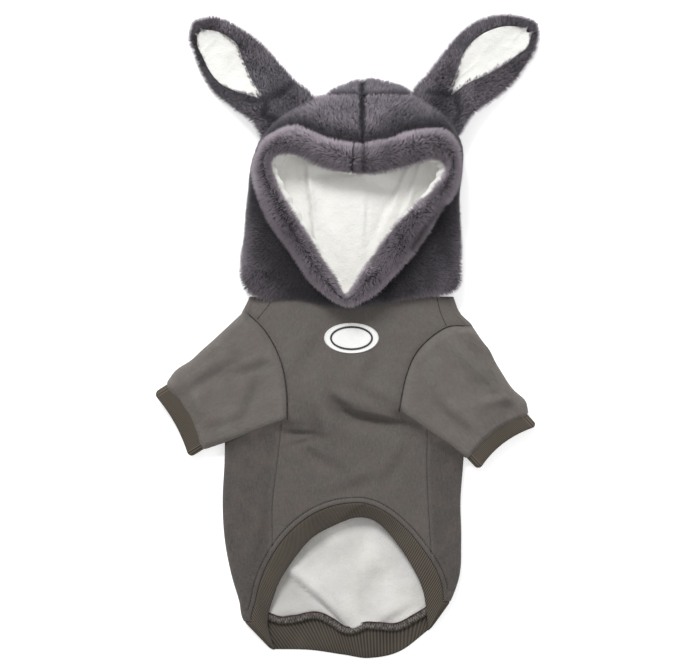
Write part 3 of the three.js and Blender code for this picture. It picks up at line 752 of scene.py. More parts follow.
def spread_roots(mesh, count, rng, wanted):
    """Even places over a mesh's faces, and the cloth's normals there."""
    mesh.calc_loop_triangles()
    corners = np.empty(len(mesh.loop_triangles) * 3, int)
    mesh.loop_triangles.foreach_get("vertices", corners)
    corners = corners.reshape(-1, 3)
    points = points_of(mesh)
    normals = np.empty(len(points) * 3)
    mesh.vertices.foreach_get("normal", normals)
    normals = normals.reshape(-1, 3)
    a, b, c = (points[corners[:, k]] for k in range(3))
    crossed = np.cross(b - a, c - a)
    area = np.linalg.norm(crossed, axis=1) / 2
    weight = area * wanted((a + b + c) / 3, unit(crossed))
    total = np.cumsum(weight)
    at = np.searchsorted(total, (np.arange(count) + rng.random(count)) / count * total[-1])
    at = np.minimum(at, len(corners) - 1)
    s, t = rng.random((2, count))
    over = s + t > 1
    s, t = np.where(over, 1 - s, s)[:, None], np.where(over, 1 - t, t)[:, None]
    roots = a[at] + s * (b[at] - a[at]) + t * (c[at] - a[at])
    na, nb, nc = (normals[corners[at, k]] for k in range(3))
    return roots, unit(na + s * (nb - na) + t * (nc - na))


def upper_side(middles, normals):
    """Fur grows everywhere but on the underside, where there is little."""
    return np.where(normals[:, 2] > -0.35, 1.0, 0.12)


def grow_fur(backing, name, count, nap, seed, pile=1.0, wanted=upper_side, light=0.0,
             parting=None):
    """Grows a pile of tufted strands on a backing. nap gives how each strand leans, from the
    roots and the normals there, and parting how short and dark it is, from 0 to 1, which takes in
    dark seams and painted shade. wanted says how densely they stand."""
    rng = np.random.default_rng(seed)
    long = settings_of("hood").pile * pile
    roots, normals = spread_roots(backing.data, count, rng, wanted)
    area = sum(p.area for p in backing.data.polygons)
    heads = rng.choice(count, max(20, int(area / TUFT**2)), replace=False)
    tree = KDTree(len(heads))
    for k, head in enumerate(heads):
        tree.insert(roots[head], k)
    tree.balance()
    own = np.array([tree.find(root)[1] for root in roots])
    sewn = parting(roots, normals) if parting else np.zeros(count)
    lean = nap(roots, normals) + 0.3 * ripple(roots, 0.03, seed + 1)
    stray = rng.normal(size=(len(heads), 3))
    way = normals + lean + TUFT_STRAY * stray[own]
    way = unit(way + STRAND_STRAY * rng.normal(size=roots.shape))
    rise = np.sum(way * normals, axis=1)
    way = unit(way + normals * np.maximum(LEAST_RISE - rise, 0)[:, None])
    length = long * rng.uniform(0.75, 1.1, count) * rng.uniform(0.94, 1.06, len(heads))[own]
    length = length * (1 - 0.4 * sewn)
    tips = roots + way * length[:, None]
    peak = roots[heads] + way[heads] * long
    drawn = (rng.uniform(*DRAWN, count) * (1 - sewn))[:, None]
    tips = mix(tips, peak[own], drawn)
    tips[:, 2] = np.maximum(tips[:, 2], 0.0003)  # above the floor
    widths = rng.uniform(*STRAND_WIDTH, count)
    mesh, up = laid_many(name, strand_template(), roots - 0.0006 * normals, tips, widths)
    bright = BRIGHT + light + TUFT_TONE * rng.normal(size=len(heads))[own]
    # Seams, and painted shade where parting gives it, make it darker.
    bright += STRAND_TONE * rng.normal(size=count) - SEAM_AND_SHADOW_TONE * sewn
    for scale, more, strength in PATCH_TONES:
        bright += strength * ripple(roots, scale, seed + more)[:, 0]
    # Painted sheen: paler where the skin turns away from straight up, towards the rims.
    bright += RIM_SHEEN * (1 - np.clip(normals[:, 2], 0, 1)) ** RIM_SHEEN_POWER * (1 - sewn)
    each = len(up) // count
    keep_value(mesh, "tip", up * (1 - 0.72 * np.repeat(sewn, each)))
    keep_value(mesh, "shade", np.repeat(np.clip(bright, 0, 1), each))
    return placed(mesh, name, fur_strands())


def swept_line(path, radius, rise=1.0, sides=6):
    """A thread swept along a path, rounded off at its ends, as a bmesh."""
    way = unit(np.gradient(path, axis=0))
    aside = unit(np.cross(way, (0.0, 0.0, 1.0)))
    up = np.cross(aside, way)
    rows = len(path) - 1
    shift = neck_middle()

    def place(around, along):
        at = np.clip(np.rint(along * rows).astype(int), 0, rows)
        full = np.where((at == 0) | (at == rows), 0.0, radius)[:, None]
        turn = (TAU * around)[:, None]
        found = path[at] - shift + full * (np.cos(turn) * aside[at] + rise * np.sin(turn) * up[at])
        return found.T

    return grid_mesh(sides, rows, place, (radius * TAU, 1.0))


# Materials


class Shader:
    """A node material that is put together one node at a time."""

    def __init__(self, name):
        self.material = bpy.data.materials.new(name)
        self.material.use_nodes = True
        self.tree = self.material.node_tree
        self.surface = self.tree.nodes["Principled BSDF"]
        self.places = self.tree.nodes.new("ShaderNodeTexCoord")

    def node(self, kind, links=None, **settings):
        made = self.tree.nodes.new("ShaderNode" + kind)
        for key, value in settings.items():
            setattr(made, key, value)
        for key, value in (links or {}).items():
            self.give(made.inputs[key], value)
        return made

    def give(self, socket, value):
        if isinstance(value, bpy.types.NodeSocket):
            self.tree.links.new(value, socket)
        else:
            socket.default_value = value

    def noise(self, scale, detail=3.0, where="Object"):
        made = self.node("TexNoise", {
            "Vector": self.places.outputs[where], "Scale": scale, "Detail": detail})
        return made.outputs["Fac"]

    def attribute(self, name):
        return self.node("Attribute", attribute_name=name).outputs["Fac"]

    def blend(self, part, a, b):
        made = self.node("Mix", data_type="RGBA")
        self.give(made.inputs["Factor"], part)
        self.give(made.inputs["A"], a)
        self.give(made.inputs["B"], b)
        return made.outputs["Result"]

    def ramp(self, value, low, high, to_low=0.0, to_high=1.0):
        return self.node("MapRange", {
            "Value": value, "From Min": low, "From Max": high,
            "To Min": to_low, "To Max": to_high}).outputs["Result"]

    def mottle(self, scale, detail, low, high, most=1.0):
        """Noise between two of its levels, spread from 0 to the most."""
        return self.ramp(self.noise(scale, detail), low, high, 0.0, most)

    def maths(self, operation, a, b):
        made = self.node("Math", operation=operation)
        self.give(made.inputs[0], a)
        self.give(made.inputs[1], b)
        return made.outputs[0]

    def bump(self, height, distance, strength=1.0, below=None):
        made = self.node("Bump", {"Height": height, "Distance": distance, "Strength": strength})
        if below:
            self.give(made.inputs["Normal"], below)
        return made.outputs["Normal"]

    def finish(self, base, normal=None, roughness=0.9, specular=0.2, sheen=0.0):
        self.give(self.surface.inputs["Base Color"], base)
        self.surface.inputs["Roughness"].default_value = roughness
        self.surface.inputs["Specular IOR Level"].default_value = specular
        self.surface.inputs["Sheen Weight"].default_value = sheen
        self.surface.inputs["Sheen Roughness"].default_value = 0.5
        if normal:
            self.give(self.surface.inputs["Normal"], normal)
        return self.material


def shade(tone, part):
    """A colour made that many times as bright."""
    return tuple(min(1.0, part * c) for c in tone[:3]) + (1.0,)


def once(build):
    """Makes a material the first time it is asked for, and gives the same one after that."""
    def found(*args):
        key = build.__name__ + "".join(f"_{a}" for a in args)
        return bpy.data.materials.get(key) or build(key, *args)
    return found


@once
def knit_cloth(name):
    tone = settings_of("colours").knit
    s = Shader(name)

    def about(value, strength):
        return s.ramp(value, 0.3, 0.7, -strength, strength)

    streaks = s.node("Mapping", {"Vector": s.places.outputs["UV"], "Scale": (1100.0, 150.0, 1.0)})
    streaks = s.node("TexNoise", {
        "Vector": streaks.outputs["Vector"], "Scale": 1.0, "Detail": 2.0}).outputs["Fac"]
    wales, rows = (
        s.node("TexWave", {
            "Vector": s.places.outputs["UV"], "Scale": scale, "Distortion": distortion,
            "Detail": 1.0, "Detail Scale": 2.0}, bands_direction=bands).outputs["Fac"]
        for scale, distortion, bands in ((290.0, 0.6, "X"), (380.0, 1.2, "Y")))
    loops = s.maths("MULTIPLY", wales, rows)
    # The tone attribute sets each place's brightness; on the body it holds a painted shadow under
    # the sleeves' lower edges.
    part = s.ramp(s.attribute("tone"), 0.5, 1.6)
    for value, strength in (
            (s.noise(14.0, 2.0), 0.03), (s.noise(45.0, 3.0), 0.03), (s.noise(480.0, 2.0), 0.07),
            (streaks, 0.09), (loops, 0.05)):
        part = s.maths("ADD", part, about(value, strength))
    base = s.blend(part, shade(tone, 0.5), shade(tone, 1.6))
    warm = (tone[0] * 1.2, tone[1], tone[2] * 1.02, 1.0)
    base = s.blend(s.mottle(70.0, 2.0, 0.4, 0.66, 0.3), base, warm)
    normal = s.bump(loops, 0.00022)
    normal = s.bump(streaks, 0.0003, below=normal)
    normal = s.bump(s.noise(90.0, 3.0), 0.0009, below=normal)
    return s.finish(base, normal, roughness=0.95, specular=0.12, sheen=0.08)


@once
def rib_cloth(name):
    tone = settings_of("colours").rib
    s = Shader(name)
    # Painted shade in the rib's grooves and painted light on its crests.
    ridge = s.ramp(s.attribute("ridge"), 0.15, 0.85)
    worn = s.mottle(30.0, 2.0, 0.3, 0.7)
    base = s.blend(ridge, shade(tone, 0.36), shade(tone, 1.48))
    base = s.blend(s.maths("MULTIPLY", worn, 0.3), base, shade(tone, 1.5))
    normal = s.bump(s.noise(1800.0, 2.0), 0.0002)
    return s.finish(base, normal, roughness=0.95, specular=0.1)


@once
def fur_strands(name):
    tones = settings_of("colours")
    s = Shader(name)
    up = s.attribute("tip")
    own = s.attribute("shade")
    base = s.blend(up, shade(tones.fur_root, 1.0), shade(tones.fur_tip, 1.0))
    # The shade attribute takes each strand towards paler colours. Its own tone varies; painted
    # sheen lightens the rims and the brim, and painted shade darkens it beside the brim and in
    # creases.
    pale = (tones.fur_tip[0] * 1.08, tones.fur_tip[1], tones.fur_tip[2] * 0.97)
    light = s.blend(up, shade(tones.fur_root, 1.6), shade(pale, 3.3))
    brown = (tones.fur_tip[0] * 1.3, tones.fur_tip[1] * 1.14, tones.fur_tip[2] * 1.02, 1.0)
    base = s.blend(own, base, light)
    cast = s.mottle(9.0, 1.0, 0.4, 0.65, 0.25)
    base = s.blend(s.maths("MULTIPLY", cast, up), base, brown)
    return s.finish(base, roughness=0.75, specular=0.15, sheen=0.15)


@once
def fur_backing(name):
    tones = settings_of("colours")
    s = Shader(name)
    base = s.blend(s.noise(700.0), shade(tones.fur_root, 0.8), shade(tones.fur_root, 1.8))
    normal = s.bump(s.noise(900.0), 0.0008)
    return s.finish(base, normal, roughness=1.0, specular=0.05)


@once
def white_plush(name):
    tone = settings_of("colours").plush
    s = Shader(name)
    base = s.blend(s.mottle(35.0, 3.0, 0.3, 0.7), shade(tone, 0.95), shade(tone, 1.03))
    base = s.blend(s.mottle(900.0, 2.0, 0.3, 0.7, 0.25), base, shade(tone, 0.84))
    normal = s.bump(s.noise(700.0, 3.0), 0.0006)
    normal = s.bump(s.noise(120.0, 3.0), 0.0012, below=normal)
    return s.finish(base, normal, roughness=1.0, specular=0.05, sheen=0.1)


@once
def body_fleece(name):
    tone = settings_of("colours").fleece
    s = Shader(name)
    blotch = s.mottle(38.0, 4.0, 0.35, 0.68)
    base = s.blend(blotch, shade(tone, 0.86), shade(tone, 1.1))
    cool = (tone[0] * 0.9, tone[1] * 0.91, tone[2] * 0.99, 1.0)
    base = s.blend(s.mottle(24.0, 2.0, 0.45, 0.7, 0.5), base, cool)
    base = s.blend(s.mottle(800.0, 2.0, 0.3, 0.7, 0.25), base, shade(tone, 0.8))
    # The tone attribute darkens the lining's left corner with painted shade.
    base = s.blend(s.attribute("tone"), shade(tone, 0.66), base)
    normal = s.bump(s.noise(650.0, 3.0), 0.0004)
    normal = s.bump(s.noise(70.0, 2.0), 0.001, below=normal)
    return s.finish(base, normal, roughness=1.0, specular=0.05, sheen=0.1)


@once
def patch_rubber(name):
    tone = settings_of("colours").patch
    s = Shader(name)
    base = s.blend(s.mottle(140.0, 3.0, 0.35, 0.65), shade(tone, 0.97), shade(tone, 1.02))
    normal = s.bump(s.noise(1400.0, 2.0), 0.00008)
    return s.finish(base, normal, roughness=0.5, specular=0.4)


@once
def ring_rubber(name):
    tone = settings_of("colours").ink
    s = Shader(name)
    base = s.blend(s.noise(500.0), shade(tone, 0.8), shade(tone, 1.3))
    return s.finish(base, s.bump(s.noise(1600.0), 0.00008), roughness=0.55, specular=0.35)


@once
def spun_thread(name, which):
    tones = settings_of("colours")
    tone = {
        "overlock": tones.thread, "seam": shade(tones.knit, 0.3), "edge": shade(tones.rib, 0.7),
        "chain": tones.chain}[which]
    s = Shader(name)
    base = s.blend(s.mottle(330.0, 2.0, 0.35, 0.65), shade(tone, 0.55), shade(tone, 1.5))
    return s.finish(base, s.bump(s.noise(2500.0), 0.0001), roughness=0.8, specular=0.2)


# Body


def body_edges(along):
    """The body's two sides and its height, at shares of its length."""
    body = settings_of("body")
    left, right, crown = smooth_rows(BODY_SECTIONS)(along)
    return -left * body.width, right * body.width, crown * body.height


def belly_relief(x, y):
    """How far the folds and creases move the belly's cloth up."""
    body = settings_of("body")
    low = folds(x, y, BELLY_FOLDS, body.width, body.length, body.height, False)
    laps = folds(x, y, CREASES, body.width, body.length, body.height, True)
    return 1.25 * laps - low + 0.0004 * flat_ripple(x, y, 0.07, 5)


def body_surface(flat, turn, along, inset):
    """A point of the body's flat tube, that far under its surface."""
    body = settings_of("body")
    left, right, crown = body_edges(along)
    fold = body.fold
    across = mix(left + fold, right - fold, flat)
    x = across + (fold - inset) * np.cos(turn)
    y = -along * body.length
    z = fold + (fold - inset) * np.sin(turn)
    z = z + np.where(on_top(turn), dome(flat) * (crown - 2 * fold + belly_relief(x, y)), 0)
    return x, y, z


def body_top(x, y):
    """How high the belly's cloth stands at places seen from above."""
    body = settings_of("body")
    left, right, crown = body_edges(-y / body.length)
    fold = body.fold
    flat = np.clip((x - left - fold) / (right - left - 2 * fold), 0, 1)
    return 2 * fold + dome(flat) * (crown - 2 * fold + belly_relief(x, y))


def hem_along(flat, turn):
    """How far down the body its hem runs, on the belly and on the back."""
    left = flat < HEM_TOP
    out = np.abs(flat - HEM_TOP) / np.where(left, HEM_TOP, 1 - HEM_TOP)
    bend = np.where(left, HEM_LEFT_BEND, HEM_RIGHT_BEND)
    front = mix(HEM_TOP_ALONG, np.where(left, HEM_LEFT, HEM_RIGHT), out**bend)
    back = smooth_rows(HEM_BACK)(flat)[0]
    return np.where(np.sin(turn) < 0, back, front)


def gathered(part, how=0.72):
    """Shares that crowd towards both ends of a stretch."""
    return part - how * np.sin(TAU * part) / TAU


def seam_flats(along):
    """The two princess seams as shares across the belly."""
    body = settings_of("body")
    left, right, _ = body_edges(along)
    return [(seam * body.width - left - body.fold) / (right - left - 2 * body.fold)
            for seam in smooth_rows(PRINCESS_SEAMS)(along)]


def seam_fitted(flat, turn, along):
    """Moves the belly's columns so that two of them run down the princess seams."""
    seams = seam_flats(along)
    ends = [np.zeros_like(flat), *seams, np.ones_like(flat)]
    stops = (0.0, 0.24, 0.8, 1.0)
    fitted = flat
    for k in range(3):
        part = np.clip((flat - stops[k]) / (stops[k + 1] - stops[k]), 0, 1)
        inside = (flat >= stops[k]) & (flat <= stops[k + 1])
        fitted = np.where(inside, mix(ends[k], ends[k + 1], gathered(part)), fitted)
    return np.where(on_top(turn), fitted, flat)


def binding_depth(flat, turn):
    """The binding above the hem as a share down the body, wider where the hem runs steeply."""
    body = settings_of("body")
    step = 1e-3
    slope = (hem_along(flat + step, turn) - hem_along(flat - step, turn)) / (2 * step)
    slope = slope * body.length / body.width
    depth = body.binding / body.length
    return np.where(np.sin(turn) > 0, depth * np.sqrt(1 + np.minimum(slope**2, 6.0)), depth)


def body_cloth(way, down):
    """A point of the body's cloth: its share across, its turn and its share down."""
    body = settings_of("body")
    flat, turn = section(way)
    start = -body.neck_tuck / body.length
    stop = 0.84
    fitted = flat
    for _ in range(3):
        end = hem_along(fitted, turn)
        top = end - binding_depth(fitted, turn)
        upper = mix(start, top, 1 - (1 - np.clip(down / stop, 0, 1)) ** 1.5)
        lower = mix(top, end, gathered(np.clip((down - stop) / (1 - stop), 0, 1), 0.5))
        along = np.where(down <= stop, upper, lower)
        fitted = seam_fitted(flat, turn, along)
    return fitted, turn, along


def body_map(way, down):
    """How far round and down the cloth each point is, in metres."""
    body = settings_of("body")
    fitted, turn, along = body_cloth(way, down)
    side = body.fold * (turn + math.pi)
    return np.where(np.sin(turn) < 0, fitted, -fitted) * body.width + side, along * body.length


def body_place(way, down):
    """The body's cloth, drawn in along the armholes' seams, the princess seams and the hem."""
    body = settings_of("body")
    fitted, turn, along = body_cloth(way, down)
    end, binding = hem_along(fitted, turn), binding_depth(fitted, turn)
    x, y, z = body_surface(fitted, turn, along, 0.0)
    left, right, _ = body_edges(along)
    span = right - left - 2 * body.fold
    for hole in ARMHOLES.values():
        sewn_on = np.stack(open_curve(hole["curve"])(np.linspace(0, 1, 40)), axis=1)
        sewn_on = sewn_on * (body.width, -body.length)
        off = distance_to_line(np.stack([x, y], axis=1), sewn_on)
        z = z - np.where(on_top(turn), pressed(off, *ARMHOLE_GROOVE), 0)
    # The princess seams start below the sleeves.
    sewn = smoothstep(along, 0.34, 0.38) * np.where(on_top(turn), 1, 0)
    for seam in seam_flats(along):
        off = (fitted - seam) * span
        beside = pressed(np.abs(off) - RIDGE_PLACE, *PRINCESS_RIDGE)
        z = z - sewn * (pressed(off, *PRINCESS_GROOVE) - beside)
    # Over the hem the cloth dips at the stitches, swells over the binding and drops at the rib.
    below = (along - (end - binding)) / binding
    groove = pressed(below, 0.0008, 0.16) - pressed(below - 0.55, 0.0007, 0.4)
    edge = pressed(below - 1.06, 0.0012, 0.12)
    return x, y, z - smoothstep(np.sin(turn), 0.0, 0.9) * (groove + edge)


def armhole_outline(side):
    """The sleeve's closed outline from above, which starts along the armhole's seam."""
    plan = sleeve_plan(side)
    ends = np.linspace(0, 1, 24)
    seam = np.stack(plan(ends, 0 * ends)[:2], axis=1)
    mouth = np.stack(plan(ends[::-1], 0 * ends + 1)[:2], axis=1)
    return np.vstack([seam, mouth, seam[:1]])


def cut_armholes(bm):
    """Opens the body under the sleeves, a little inside each armhole's seam."""
    body = settings_of("body")
    faces = list(bm.faces)
    middles = np.array([f.calc_center_median() for f in faces]) - neck_middle()
    for side in ARMHOLES:
        outline = armhole_outline(side)
        gone = inside_outline(middles[:, :2], outline) & (middles[:, 2] > body.fold)
        gone &= distance_to_line(middles[:, :2], outline) > 0.005
        found = [f for f, out in zip(faces, gone) if out and f.is_valid]
        bmesh.ops.delete(bm, geom=found, context="FACES")


def body_tones(mesh):
    """Lightest on the chest, and darker on the side panels and towards the hem, with a painted
    shadow under the sleeves' lower edges."""
    body = settings_of("body")
    points = points_of(mesh) - neck_middle()
    along = np.clip(-points[:, 1] / body.length, 0, 1)
    left, right = smooth_rows(PRINCESS_SEAMS)(along) * body.width
    side = smoothstep(points[:, 0] - right, -0.001, 0.006)
    side = np.maximum(side, smoothstep(left - points[:, 0], -0.001, 0.006))
    side = side * smoothstep(along, 0.34, 0.42)
    chest = 1 - smoothstep(along, 0.16, 0.42)
    low = smoothstep(along, 0.45, 0.95)
    # Painted shadow along each sleeve's lower edge on the body's cloth.
    under = np.zeros(len(points))
    for sleeve in ARMHOLES:
        curve, _, _, last = sleeve_mouth(sleeve)
        off = distance_to_line(points[:, :2], np.stack([curve[-1], last]))
        under = np.maximum(under, 0.6 * bell(off, 0.0045) + 0.4 * bell(off, 0.012))
    return 1.0 + 0.16 * chest - 0.22 * side - 0.03 * low - 0.5 * under


class HOODIE_OT_body(Operator):
    """The knit body tube, with its seams, folds and armholes"""

    bl_idname = "hoodie.body"
    bl_label = "Body"

    def execute(self, context):
        body = context.scene.hoodie_body
        bm = grid_mesh(200, 150, body_place, body_map)
        cut_armholes(bm)
        made = finished(bm, "body", knit_cloth(), "body_shell", slot="knit", wall=body.wall)
        keep_value(made.data, "tone", body_tones(made.data))
        return {"FINISHED"}


# Fleece inside the hem


def fleece_place(way, down):
    """The lining inside the hem, with its folds on the back."""
    body = settings_of("body")
    flat, turn = section(way)
    end = hem_along(flat, turn)
    along = mix(end - body.fleece_depth / body.length, end - 0.002 / body.length, down)
    x, y, z = body_surface(flat, turn, along, body.wall + FLEECE_GAP)
    under = np.sin(turn) < -0.9999
    laps = folds(x, y, FLEECE_FOLDS, body.width, body.length, body.height, True)
    soft = flat_ripple(x, y, 0.045, 8) * 0.0008
    z = z + np.where(under, dome(flat) * (0.0015 + np.maximum(laps + soft, -0.0012)), 0)
    return x, y, z


class HOODIE_OT_lining(Operator):
    """The brushed fleece that shows inside the hem"""

    bl_idname = "hoodie.lining"
    bl_label = "Body lining"

    def execute(self, context):
        body = context.scene.hoodie_body
        flat = (2 * body.width, body.fleece_depth)
        bm = grid_mesh(200, 60, fleece_place, flat)
        made = finished(
            bm, "body_fleece", body_fleece(), "body_lining", slot="fleece", wall=body.fleece_wall)
        # The left corner, past a slanting line, is darkened with painted shade.
        points = points_of(made.data)
        across, along = ((points - neck_middle())[:, :2] / (body.width, -body.length)).T
        past = across * 0.6 - along + 0.973 + 0.02 * ripple(points, 0.05, 9)[:, 0]
        keep_value(made.data, "tone", 0.35 + 0.65 * smoothstep(past, -0.05, 0.015))
        return {"FINISHED"}


# Ribs of the hem and the cuffs


def band_section(turn_share, wall):
    """A doubled band's section: the share along it and the inset, with full rounded edges."""
    out = turn_share < 0.5
    part = np.where(out, 2 * turn_share, 2 - 2 * turn_share)
    along = 0.5 - 0.5 * np.cos(math.pi * part)
    side = np.sqrt(np.maximum(0, 1 - np.abs(2 * along - 1) ** 9))
    inset = wall / 2 * np.where(out, 1 - side, 1 + side)
    return along, inset, out


def rib_surface(flat, turn, part, inset):
    """A point of the hem's band, on the way from its seam to its free edge."""
    body = settings_of("body")
    end = hem_along(flat, turn) + JOIN_GAP / body.length
    seam = np.array(body_surface(flat, turn, end, inset))
    front, back = smooth_rows(RIB_FRONT)(flat), smooth_rows(RIB_BACK)(flat)
    across, along = np.where(np.sin(turn) >= 0, front, back)
    # The free edge comes down towards the two corners, and the right one slants.
    corner = smoothstep(np.minimum(flat, 1 - flat), 0.0, 0.22)
    fold = body.rib_height / 2 * mix(0.5, 1.0, corner)
    slant = 0.8 * (fold - inset) * np.abs(np.cos(turn)) * smoothstep(flat, 0.6, 0.9)
    edge = np.array([
        across * body.width + (fold - inset) * np.cos(turn),
        -along * body.length + slant,
        fold + (fold - inset) * np.sin(turn),
    ])
    x, y, z = mix(seam, edge, part)
    return x, y, np.maximum(z, 0.0)


def ridges(way, count):
    """A rib's rise at each place round a band, from 0 in a groove to 1 on a crest."""
    wave = 0.5 + 0.5 * np.cos(TAU * count * way)
    return wave**0.8


def hem_rib_place(way, around):
    """The hem's doubled band, with its ridges and its lap."""
    body = settings_of("body")
    flat, turn = section(way)
    part, inset, out = band_section(around, body.rib_wall)
    # The band's end laps over its start on a slant at the top of the arch.
    joint = flat - HEM_TOP - LAP_START + LAP_SLANT * part
    lap = LAP_HEIGHT * smoothstep(-joint, 0.0, 0.004) * bell(joint, LAP_REACH) * (1 - part**4)
    lap = np.where(out & on_top(turn), lap, 0)
    rise = RIB_RISE * (ridges(way, HEM_RIBS) - 0.5)
    inset = inset - np.where(out, rise + lap, -rise)
    return tuple(rib_surface(flat, turn, part, inset))


def store_ridges(made, count):
    """Keeps each point's rise on its rib, from the UV map's place round the band, for painted
    shade in the grooves and painted light on the crests; the crests are darker where the band lies
    low.
    """
    mesh = made.data
    uv = np.empty(len(mesh.loops) * 2)
    mesh.uv_layers["cloth"].data.foreach_get("uv", uv)
    loop_points = np.empty(len(mesh.loops), int)
    mesh.loops.foreach_get("vertex_index", loop_points)
    way = np.zeros(len(mesh.vertices))
    way[loop_points] = uv.reshape(-1, 2)[:, 0]
    floor = smoothstep(points_of(mesh)[:, 2], 0.003, 0.009)
    keep_value(mesh, "ridge", ridges(way, count) * mix(0.6, 1.0, floor))


class HOODIE_OT_hem_rib(Operator):
    """The ribbed band round the hem"""

    bl_idname = "hoodie.hem_rib"
    bl_label = "Hem rib"

    def execute(self, context):
        bm = grid_mesh(4 * HEM_RIBS, 22, hem_rib_place)
        made = finished(bm, "hem_band", rib_cloth(), "hem_rib", slot="rib")
        store_ridges(made, HEM_RIBS)
        return {"FINISHED"}


# Threads


def on_belly(shares_across, along, sink):
    """Points on the belly's cloth in the frame, from shares of the body's width and length."""
    body = settings_of("body")
    x, y = np.asarray(shares_across) * body.width, -np.asarray(along) * body.length
    return np.stack([x, y, body_top(x, y) - sink], axis=1) + neck_middle()


def even_steps(path, step):
    """The path again, with its points a step apart."""
    gone = np.concatenate([[0], np.cumsum(np.linalg.norm(np.diff(path, axis=0), axis=1))])
    at = np.arange(0, gone[-1], step)
    return np.stack([np.interp(at, gone, path[:, k]) for k in range(3)], axis=1)


def hem_line(offset):
    """The belly's hem, or a line so many bindings above it, from the left fold to the right."""
    flat = np.linspace(0.004, 0.996, 260)
    turn = np.full_like(flat, math.pi / 2)
    along = hem_along(flat, turn) - offset * binding_depth(flat, turn)
    return np.stack(body_surface(flat, turn, along, 0.0), axis=1) + neck_middle()


def seam_paths():
    """Where dark seam lines show on the knit, each with its thread's radius."""
    along = np.linspace(0.36, 0.86, 90)
    turn = np.full_like(along, math.pi / 2)
    paths = []
    for seam, flat in zip(smooth_rows(PRINCESS_SEAMS)(along), seam_flats(along)):
        above = along < hem_along(flat, turn) - 1.15 * binding_depth(flat, turn)
        radius, sink = SEAM_LINES["princess"]
        paths.append((on_belly(seam, along, sink)[above], radius))
    for kind, bends, shares in (
            ("armhole", [hole["curve"] for hole in ARMHOLES.values()], (0.03, 0.995, 70)),
            ("shoulder", SHOULDER_SEAMS, (0, 1, 24))):
        radius, sink = SEAM_LINES[kind]
        for bend in bends:
            paths.append((on_belly(*open_curve(bend)(np.linspace(*shares)), sink), radius))
    radius, sink = SEAM_LINES["hem"]
    paths.append((hem_line(0.0) + (0, 0, -sink), radius))
    return paths


class HOODIE_OT_seams(Operator):
    """The dark lines of the seams, and the stitches above the hem"""

    bl_idname = "hoodie.seams"
    bl_label = "Seams"

    def execute(self, context):
        mesh = bpy.data.meshes.new("joined")
        whole = bmesh.new()
        for path, radius in seam_paths():
            line = swept_line(even_steps(path, 0.0018), radius)
            line.to_mesh(mesh)
            line.free()
            whole.from_mesh(mesh)
        bpy.data.meshes.remove(mesh)
        finished(whole, "seam_lines", spun_thread("seam"), slot="knit")
        path = even_steps(hem_line(1.0) + (0, 0, -0.0006), 0.0027)
        reach = np.gradient(path, axis=0) * 0.41
        mesh, _ = laid_many(
            "hem_stitches", stitch_template(), path - reach, path + reach,
            np.full(len(path), 0.0007))
        placed(mesh, "hem_stitches", spun_thread("seam"))
        return {"FINISHED"}


def overlock_path():
    """The middle of the overlocked edge inside the back, in the frame."""
    body = settings_of("body")
    flat = np.linspace(0.03, 0.97, 200)
    turn = np.full_like(flat, -math.pi / 2)
    along = hem_along(flat, turn)
    x, y, _ = body_surface(flat, turn, along, 0.0)
    z = np.full_like(x, body.wall + body.fleece_wall + 0.0022)
    return np.stack([x, y, z], axis=1) + neck_middle()


class HOODIE_OT_overlock(Operator):
    """The overlocked seam that shows inside the hem"""

    bl_idname = "hoodie.overlock"
    bl_label = "Overlocked edge"

    def execute(self, context):
        path = even_steps(overlock_path(), 0.0012)
        half_band = 0.0037
        band = swept_line(path, half_band, rise=0.42, sides=14)
        finished(band, "overlock_edge", spun_thread("edge"), slot="rib")
        rng = np.random.default_rng(41)
        way = unit(np.gradient(path, axis=0))
        aside = unit(np.cross(way, (0.0, 0.0, 1.0)))
        slant = np.where(np.arange(len(path)) % 2, 0.0009, -0.0009)[:, None] * way
        wobble = 0.0003 * rng.normal(size=(len(path), 1))
        lift = np.array([0, 0, 0.0014])
        low = path + aside * (0.0028 + wobble) - slant + lift
        high = path - aside * (0.0026 + wobble) + slant + lift
        widths = rng.uniform(0.0005, 0.0008, len(path))
        loops, _ = laid_many("overlock_stitches", stitch_template(), low, high, widths)
        placed(loops, "overlock_stitches", spun_thread("overlock"))
        # The chain runs along the band's upper edge.
        chain = path - aside * (half_band - 0.0003) + (0, 0, 0.0009)
        reach = way * 0.0009
        mesh, _ = laid_many(
            "overlock_chain", stitch_template(), chain - reach, chain + reach,
            np.full(len(chain), 0.0012))
        placed(mesh, "overlock_chain", spun_thread("chain"))
        return {"FINISHED"}


# Sleeves and cuffs


def sleeve_mouth(side):
    """The sleeve's directions, and its cuff seam's two ends."""
    body, sleeves, hole = settings_of("body"), settings_of("sleeves"), ARMHOLES[side]
    curve = [np.array([a * body.width, -b * body.length]) for a, b in hole["curve"]]
    way = math.radians(hole["angle"])
    forward = np.array([math.cos(way), math.sin(way)])
    turn = math.radians(hole["angle"] - 90 * hole["side"] + hole["skew"])
    line = np.array([math.cos(turn), math.sin(turn)])
    middle = (curve[0] + curve[-1]) / 2 + forward * sleeves.length * hole["reach"]
    return curve, forward, middle - line * sleeves.mouth / 2, middle + line * sleeves.mouth / 2


def mouth_line(side):
    """The cuff's seam, bowed in a little, by the share of the way along it."""
    sleeves, hole = settings_of("sleeves"), ARMHOLES[side]
    _, forward, first, last = sleeve_mouth(side)

    def line(a):
        bow = hole["seam_bow"] * sleeves.mouth * 4 * a * (1 - a)
        return [mix(first[k], last[k], a) - forward[k] * bow for k in (0, 1)]

    return line


